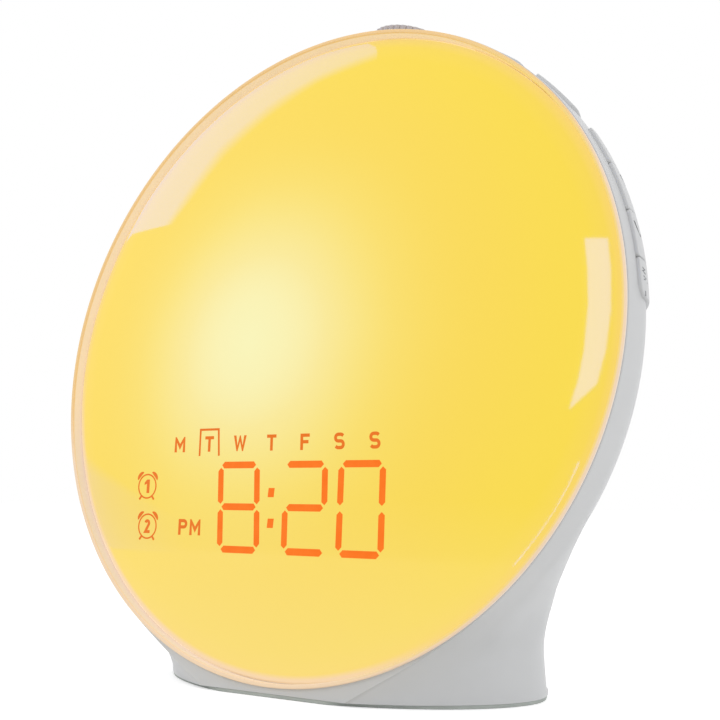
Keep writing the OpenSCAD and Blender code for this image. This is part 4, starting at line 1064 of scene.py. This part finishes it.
DISPLAY_C = 3.0
GLYPH_LIFT, GLYPH_SINK = 0.03, 0.15
SHEAR = -0.107
KEYSTONE = 0.02
KEYSTONE_AT = 1.7     # in digit widths right of the first digit
DIGIT_W, HALF_H = 11.95, 10.69
DIGIT_8 = (-18.29, -41.46)
STROKE = 1.75
STROKE_POINT = 0.8
SIDE_INSET, END_INSET = 0.03, 0.065
DIGITS = {"digit_8": ("ABCDEFG", 0), "digit_2": ("ABGED", 1.748), "digit_0": ("ABCDEF", 3.133)}
COLONS = {"colon_high": (-8.25, -37.8), "colon_low": (-7.4, -45.4)}
COLON_HALF_W, COLON_HALF_H = 0.95, 1.15
WEEKDAYS = zip("MTWTFSS", (-41.16, -30.8, -20.36, -10.01, 0.53, 10.97, 21.31))
WEEKDAY_B = -25.15
WEEKDAY_FRAME = [(-33.7, -28.3), (-34.45, -21.3), (-28.2, -21.3), (-27.0, -28.3)]
PM = {"P": (-36.25, -46.9), "M": (-32.0, -46.9)}
PM_H = 4.1
ALARMS = {1: (-51.05, -36.3), 2: (-48.95, -46.95)}
ALARM_NUMBER_H = 3.65
ALARM_NUMBER_STROKE = {1: 1.0, 2: 0.8}
LETTER_H = 4.13
LETTER_STROKE = 0.84
LETTER_W = {"M": 3.75, "T": 3.0, "W": 4.06, "F": 2.85, "S": 3.2, "P": 3.05, "1": 1.87, "2": 2.1}


def on_display(points):
    """[right, up, lift] on the flat display to world, seen from the camera on the dome's face."""
    out = []
    for a, b, lift in np.asarray(points, float):
        ray = disc_to_world([a, b, DISPLAY_C]) - CAMERA_AT
        hit, normal = dome_hit(CAMERA_AT, ray / np.linalg.norm(ray))
        out.append(hit + normal * lift)
    return np.array(out)


def leaning(b):
    """The display's lean about a height, for marks that share it with the digits."""
    def place(points):
        points = np.array(points, float)
        points[:, 0] += SHEAR * (points[:, 1] - b)
        return on_display(points)
    return place


def glyph(name, polygons, place, lift=GLYPH_LIFT, sink=GLYPH_SINK):
    """A thin raised piece over flat convex polygons of [x, y] points, with a rim that reaches
    down into its carrier."""
    bm = bmesh.new()
    for poly in polygons:
        bm.faces.new([bm.verts.new((*xy, 0)) for xy in poly])
    bmesh.ops.remove_doubles(bm, verts=bm.verts, dist=1e-3)
    bmesh.ops.triangulate(bm, faces=bm.faces)
    number = {v: i for i, v in enumerate(bm.verts)}
    n = len(number)
    pts = [(*v.co.xy, z) for z in (lift, -sink) for v in number]
    faces = [tuple(number[v] for v in f.verts) for f in bm.faces]
    for edge in bm.edges:
        if len(edge.link_faces) == 1:
            i, j = (number[v] for v in edge.verts)
            faces.append((i, j, n + j, n + i))
    bm.free()
    return add_mesh(name, place(np.array(pts)), faces)


def ribbon(points, width, closed=False):
    """Quads along a line of [x, y] points, with mitred corners."""
    p = np.asarray(points, float)
    n = len(p)
    left, right = [], []
    for i in range(n):
        before = p[i] - p[i - 1] if (closed or i > 0) else p[1] - p[0]
        after = p[(i + 1) % n] - p[i] if (closed or i < n - 1) else p[-1] - p[-2]
        before, after = before / np.linalg.norm(before), after / np.linalg.norm(after)
        tangent = (before + after) / max(np.linalg.norm(before + after), 1e-6)
        normal = np.array([-tangent[1], tangent[0]])
        reach = width / 2 / max(0.4, abs(normal @ np.array([-after[1], after[0]])))
        left.append(p[i] + normal * reach)
        right.append(p[i] - normal * reach)
    return [[left[i], right[i], right[(i + 1) % n], left[(i + 1) % n]]
            for i in range(n if closed else n - 1)]


def segment(a, b):
    """Polygons of a display segment with pointed ends between two places."""
    pieces = 4
    a, b = np.array(a, float), np.array(b, float)
    length = np.linalg.norm(b - a)
    along = (b - a) / length
    across = np.array([-along[1], along[0]]) * STROKE / 2
    middle = [a + along * d for d in np.linspace(STROKE_POINT, length - STROKE_POINT, pieces + 1)]
    left, right = [p + across for p in middle], [p - across for p in middle]
    return ([[a, right[0], left[0]], [left[-1], right[-1], b]]
            + [[left[i], right[i], right[i + 1], left[i + 1]] for i in range(pieces)])


def digit(segments, u0):
    """The lit segments of a digit centred u0 digit widths right of the first one."""
    side, top, low = 0.5 - SIDE_INSET, 1 - END_INSET, END_INSET
    ends = {"A": ((-side, 1), (side, 1)), "B": ((.5, top), (.5, low)),
            "C": ((.5, -low), (.5, -top)), "D": ((-side, -1), (side, -1)),
            "E": ((-.5, -top), (-.5, -low)), "F": ((-.5, low), (-.5, top)),
            "G": ((-side, 0), (side, 0))}
    shear = SHEAR + KEYSTONE * (u0 - KEYSTONE_AT)

    def place(u, v):
        return (DIGIT_8[0] + DIGIT_W * (u0 + u) + shear * HALF_H * v, DIGIT_8[1] + HALF_H * v)

    return [part for s in segments for part in segment(*(place(*end) for end in ends[s]))]


def clipped(polygons, low, high):
    """Convex polygons cut off level below and above."""
    for edge, sign in ((low, 1), (high, -1)):
        kept = []
        for poly in polygons:
            out = []
            for p, q in zip(poly, poly[1:] + poly[:1]):
                d, e = sign * (p[1] - edge), sign * (q[1] - edge)
                if d >= 0:
                    out.append(p)
                if d * e < 0:
                    out.append(p + (q - p) * d / (d - e))
            if len(out) > 2:
                kept.append(out)
        polygons = kept
    return polygons


def letter(kind, height=LETTER_H, s=LETTER_STROKE):
    """Convex polygons of a plain letter or figure round its middle; strokes share whole edges."""
    h, w = height / 2, LETTER_W[kind] / 2
    top, low, left, right = h - s / 2, s / 2 - h, s / 2 - w, w - s / 2
    stem = [(left, -h), (left, -s / 2), (left, s / 2), (left, h - s), (left, h)]
    if kind == "M":
        lines = [[(left, -h), (left, top), (0, -0.3 * h), (right, top), (right, -h)]]
    elif kind == "W":
        lines = [[(left - 0.2, h + 0.5), (left / 2 - 0.1, low), (0, top - 0.1),
                  (right / 2 + 0.1, low), (right + 0.2, h + 0.5)]]
    elif kind == "T":
        lines = [[(-w, top), (-s / 2, top), (s / 2, top), (w, top)], [(0, -h), (0, h - s)]]
    elif kind == "F":
        lines = [stem, [(s - w, top), (w, top)], [(s - w, 0), (w * 0.75, 0)]]
    elif kind == "P":
        r = top / 2
        lines = [stem, [(s - w, top)] + arc((right - r, top - r), r, 90, -180, 10) + [(s - w, 0)]]
    elif kind == "S":
        r = (top - low) / 4
        x = right - r
        lines = [[(right - 0.1, top - r + 0.45)] + arc((x, top - r), r, 40, 50, 4)
                 + arc((-x, top - r), r, 90, 180, 10) + arc((x, low + r), r, 90, -180, 10)
                 + arc((-x, low + r), r, 270, -50, 4) + [(left + 0.1, low + r - 0.45)]]
    elif kind == "1":
        lines = [[(right, -h), (right, h - 1.1), (right, h)]]
    else:
        lines = [arc((0, top - right), right, 165, -205, 12) + [(left + 0.1, low), (w, low)]]
    parts = [quad for line in lines for quad in ribbon(line, s)]
    if kind == "1":
        parts.append([(w - s, h), (-w, h - 0.85), (-w, h - 1.5), (w - s, h - 1.1)])
    return clipped([[np.array(p, float) for p in part] for part in parts], -h, h)


def moved(polygons, at):
    return [[p + at for p in poly] for poly in polygons]


def lit(name, polygons, place, look="small_marks"):
    finish_piece(glyph(name, polygons, place), "clock", "display_light", look=look)


def alarm_symbol(number, at):
    """An alarm clock outline with its bells and feet, and its number."""
    t = np.radians(np.arange(0, 360, 10))
    parts = ribbon(np.column_stack([3.18 * np.cos(t), 3.18 * np.sin(t)]), 0.42, True)
    for side in (-1, 1):
        low, high = np.array([side * 3.5, 1.6]), np.array([side * 1.45, 3.75])
        half = (high - low) / 2
        out = np.array([-half[1], half[0]]) / np.linalg.norm(half) * -side
        parts.append([low + half + half * cos(k) + out * sin(k)
                      for k in np.linspace(0, pi, 9)][::side])
        parts += ribbon([(side * 1.96, -2.68), (side * 2.66, -3.56)], 0.6)
    lit(f"alarm_symbol_{number}", moved(parts, at), leaning(at[1]))
    figure = letter(str(number), ALARM_NUMBER_H, ALARM_NUMBER_STROKE[number])
    lit(f"alarm_number_{number}", moved(figure, (at[0] - 0.1, at[1])), leaning(at[1]))


for name, (segments, u0) in DIGITS.items():
    lit(name, digit(segments, u0), on_display, "display_light")
for name, at in COLONS.items():
    lit(name, [rectangle(COLON_HALF_W, COLON_HALF_H, at)], on_display, "display_light")
for n, (kind, a) in enumerate(WEEKDAYS, 1):
    lit(f"weekday_{n}", moved(letter(kind), (a, WEEKDAY_B)), leaning(WEEKDAY_B))
lit("pm_mark", [part for kind, at in PM.items() for part in moved(letter(kind, PM_H), at)],
    leaning(PM["P"][1]))
lit("weekday_frame", ribbon(WEEKDAY_FRAME, 0.6), on_display)
for number, at in ALARMS.items():
    alarm_symbol(number, at)

# --- Symbols on the keys ---

MARK_LINE, THIN_LINE, FINE_LINE = 0.42, 0.34, 0.3
MARK_LIFT, MARK_SINK = 0.02, 0.05
DARK_MARK = 5


def on_key(index):
    """Flat [along the rim, depth, lift] round a key's middle to world; up is to the key's top."""
    mid_t, mid_c = sum(KEYS[index]) / 2, KEY_FRONT + KEY_W / 2

    def place(points):
        x, y, lift = axes(points)
        t, c = mid_t + np.degrees(y / SHELL_R), mid_c - x
        return on_rim(np.stack([t, c, bowl_radius(c) + KEY_PROUD + lift], -1))
    return place


def sun():
    rays = [ribbon([(r * cos(t) + 2.0, r * sin(t)) for r in (1.5, 2.1)], MARK_LINE)[0]
            for t in np.radians(range(0, 360, 45))]
    return ribbon(arc((2.0, 0), 0.95, 0, 360, 24)[:-1], MARK_LINE, True) + rays


def moon():
    outline = arc((2.0, 0), 1.7, 60, 240, 18) + arc((2.8, -0.1), 1.55, 250, -150, 14)
    return ribbon(outline, MARK_LINE, True)


def plus():
    return [quad for line in ([(0.4, 0), (3.6, 0)], [(2, 0.21), (2, 1.6)], [(2, -1.6), (2, -0.21)])
            for quad in ribbon(line, MARK_LINE)]


def loop_and_tail():
    return (ribbon(arc((3.2, 3.2), 0.75, 0, 360, 20)[:-1], THIN_LINE, True)
            + ribbon([(2.6, 2.4), (2.0, 1.6)], THIN_LINE))


def note():
    return [[(5.85, 2.95), (5.1, 2.95), (4.5, 1.5), (4.95, 1.35)],
            [(4.95, 1.35), (4.5, 1.5), (3.72, 0.16), (3.94, 0.1)],
            [(3.45 + 0.36 * cos(t), 0.36 * sin(t)) for t in np.radians(range(0, 360, 40))]]


def zigzags():
    return (ribbon([(5.4, 2.8), (4.1, 2.6), (5.4, 2.0), (4.0, 1.6)], FINE_LINE)
            + ribbon([(5.2, 0.9), (3.6, 0.7), (4.9, 0.15), (3.0, -0.2)], FINE_LINE)
            + ribbon([(4.55, -2.4), (4.55, -3.5)], MARK_LINE))


for number, mark in enumerate((sun, moon, plus, loop_and_tail, note, zigzags), 1):
    obj = glyph(f"key_{number}_symbol", mark(), on_key(number - 1), MARK_LIFT, MARK_SINK)
    finish_piece(obj, f"key_{number}", "black_plastic",
                 look="dark_key_mark" if number == DARK_MARK else "key_mark")

# --- Floor, backdrop and light ---

FLOOR_HALF = 6000
FLOOR_Z = -0.02
FLOOR_LIFT = 0.46
AMBIENT = 0.72
LAMPS = {   # place in millimetres, size in metres, level
    "key_lamp": ((-900, -1300, 1300), 1.2, 0.22),
    "fill_lamp": ((1500, -300, 700), 1.2, 0.20),
    "back_lamp": ((300, 1500, 1200), 1.4, 0.12),
}
LAMP_AIM = (0, 0, 85)
CARD_TINT = (0.1, 0.26, 1.0)
CARD_DISTANCE = 1500.0
CARDS = {   # strength, then rows of places in the frame with how strongly the card shows there
    "card_left": (4.9, [
        ([(118, 239), (151, 166), (203, 103), (249, 72), (316, 40), (370, 30)], 0.9),
        ([(164, 226), (188, 189), (217, 149), (266, 106), (319, 74), (377, 51)], 1.0),
        ([(173, 224), (197, 193), (226, 156), (272, 115), (321, 82), (377, 60)], 0.0)]),
    "card_right": (10.0, [
        ([(608, 238), (611, 270), (611, 310), (606, 350), (597, 384), (571, 408)], 1.0),
        ([(584.5, 238), (587.5, 270), (588, 305), (584, 350), (578, 380), (569, 409)], 1.0)]),
    "card_low": (2.4, [
        ([(80, 448), (84, 470), (92, 505), (105, 550), (130, 600), (165, 640)],
         [0.0, 1.0, 1.0, 0.9, 0.6, 0.0]),
        ([(130, 478), (150, 500), (180, 520), (190, 560), (200, 600), (215, 630)], 0.0)]),
    "card_line": (13.0, [
        ([(580.1, 462.3), (570.6, 484.3), (555.6, 512.3), (535.5, 541.4), (509, 574)], 1.0),
        ([(578.5, 461.5), (569.0, 483.5), (554.0, 511.5), (534.1, 540.3), (507.6, 572.8)], 1.0)]),
}


def lay_floor():
    look = Look("floor_pale", (0.82, 0.82, 0.82, 1), 0.9, specular=0.0)
    look.shade((0.82, 0.82, 0.82), 0.01, 60)
    look.set("Emission Color", (1, 1, 1, 1))
    look.set("Emission Strength", look.math("MULTIPLY", look.camera_gloss(), FLOOR_LIFT))
    corners = [(x, y, FLOOR_Z) for x, y in rectangle(FLOOR_HALF, FLOOR_HALF)]
    floor = add_mesh("floor", corners, [(0, 1, 2, 3)])
    floor.data.materials.append(look.material)


def light_studio():
    world = bpy.data.worlds.new("studio")
    scene.world = world
    world.use_nodes = True
    look = Nodes(world.node_tree)
    background = look.tree.nodes["Background"].inputs
    look.feed(background["Color"], (1, 1, 1, 1))
    look.feed(background["Strength"], look.span(look.camera_gloss(), 0, 1, AMBIENT, 1.0))


def lamp(name, at_mm, size, level):
    """A soft square lamp; level is how brightly alone it shows a white surface that faces it."""
    data = bpy.data.lights.new(name, "AREA")
    data.size = size
    at = Vector(at_mm) * MM
    way = Vector(LAMP_AIM) * MM - at
    data.energy = level * pi ** 2 * way.length ** 2
    obj = add_object(name, data)
    obj.location = at
    obj.rotation_euler = way.to_track_quat("-Z", "Y").to_euler()
    obj.visible_glossy = False


def card_look(name, strength):
    """Light that shows only as strongly as the card's attribute says."""
    material = bpy.data.materials.new(name)
    material.use_nodes = True
    material.node_tree.nodes.clear()
    look = Nodes(material.node_tree)
    shown = look.add("Attribute", attribute_name="shown").outputs["Fac"]
    glow = look.add("Emission", {"Color": (*CARD_TINT, 1), "Strength": strength}).outputs[0]
    clear = look.add("BsdfTransparent").outputs[0]
    mix = look.add("MixShader", {0: shown, 1: clear, 2: glow}).outputs[0]
    look.add("OutputMaterial", {"Surface": mix})
    return material


def soft_card(name, strength, rows):
    """A coloured card that the lens mirrors; its places are where the mirrored lines of sight
    through its rows lead."""
    pts, levels = [], []
    for places, shown in rows:
        for px in places:
            d = sight(px)
            hit, normal = dome_hit(CAMERA_AT, d)
            pts.append(hit + (d - 2 * (d @ normal) * normal) * CARD_DISTANCE)
        levels += shown if isinstance(shown, list) else [shown] * len(places)
    mesh = bpy.data.meshes.new(name)
    mesh.from_pydata((np.array(pts) * MM).tolist(), [], grid_faces(len(rows), len(rows[0][0])))
    mesh.attributes.new("shown", "FLOAT", "POINT").data.foreach_set("value", levels)
    mesh.materials.append(card_look(name, strength))
    obj = add_object(name, mesh)
    obj.visible_camera = False
    obj.visible_diffuse = False
    obj.visible_transmission = False
    obj.visible_shadow = False


lay_floor()
light_studio()
for name, settings in LAMPS.items():
    lamp(name, *settings)
for name, settings in CARDS.items():
    soft_card(name, *settings)

scene.view_settings.view_transform = "Standard"
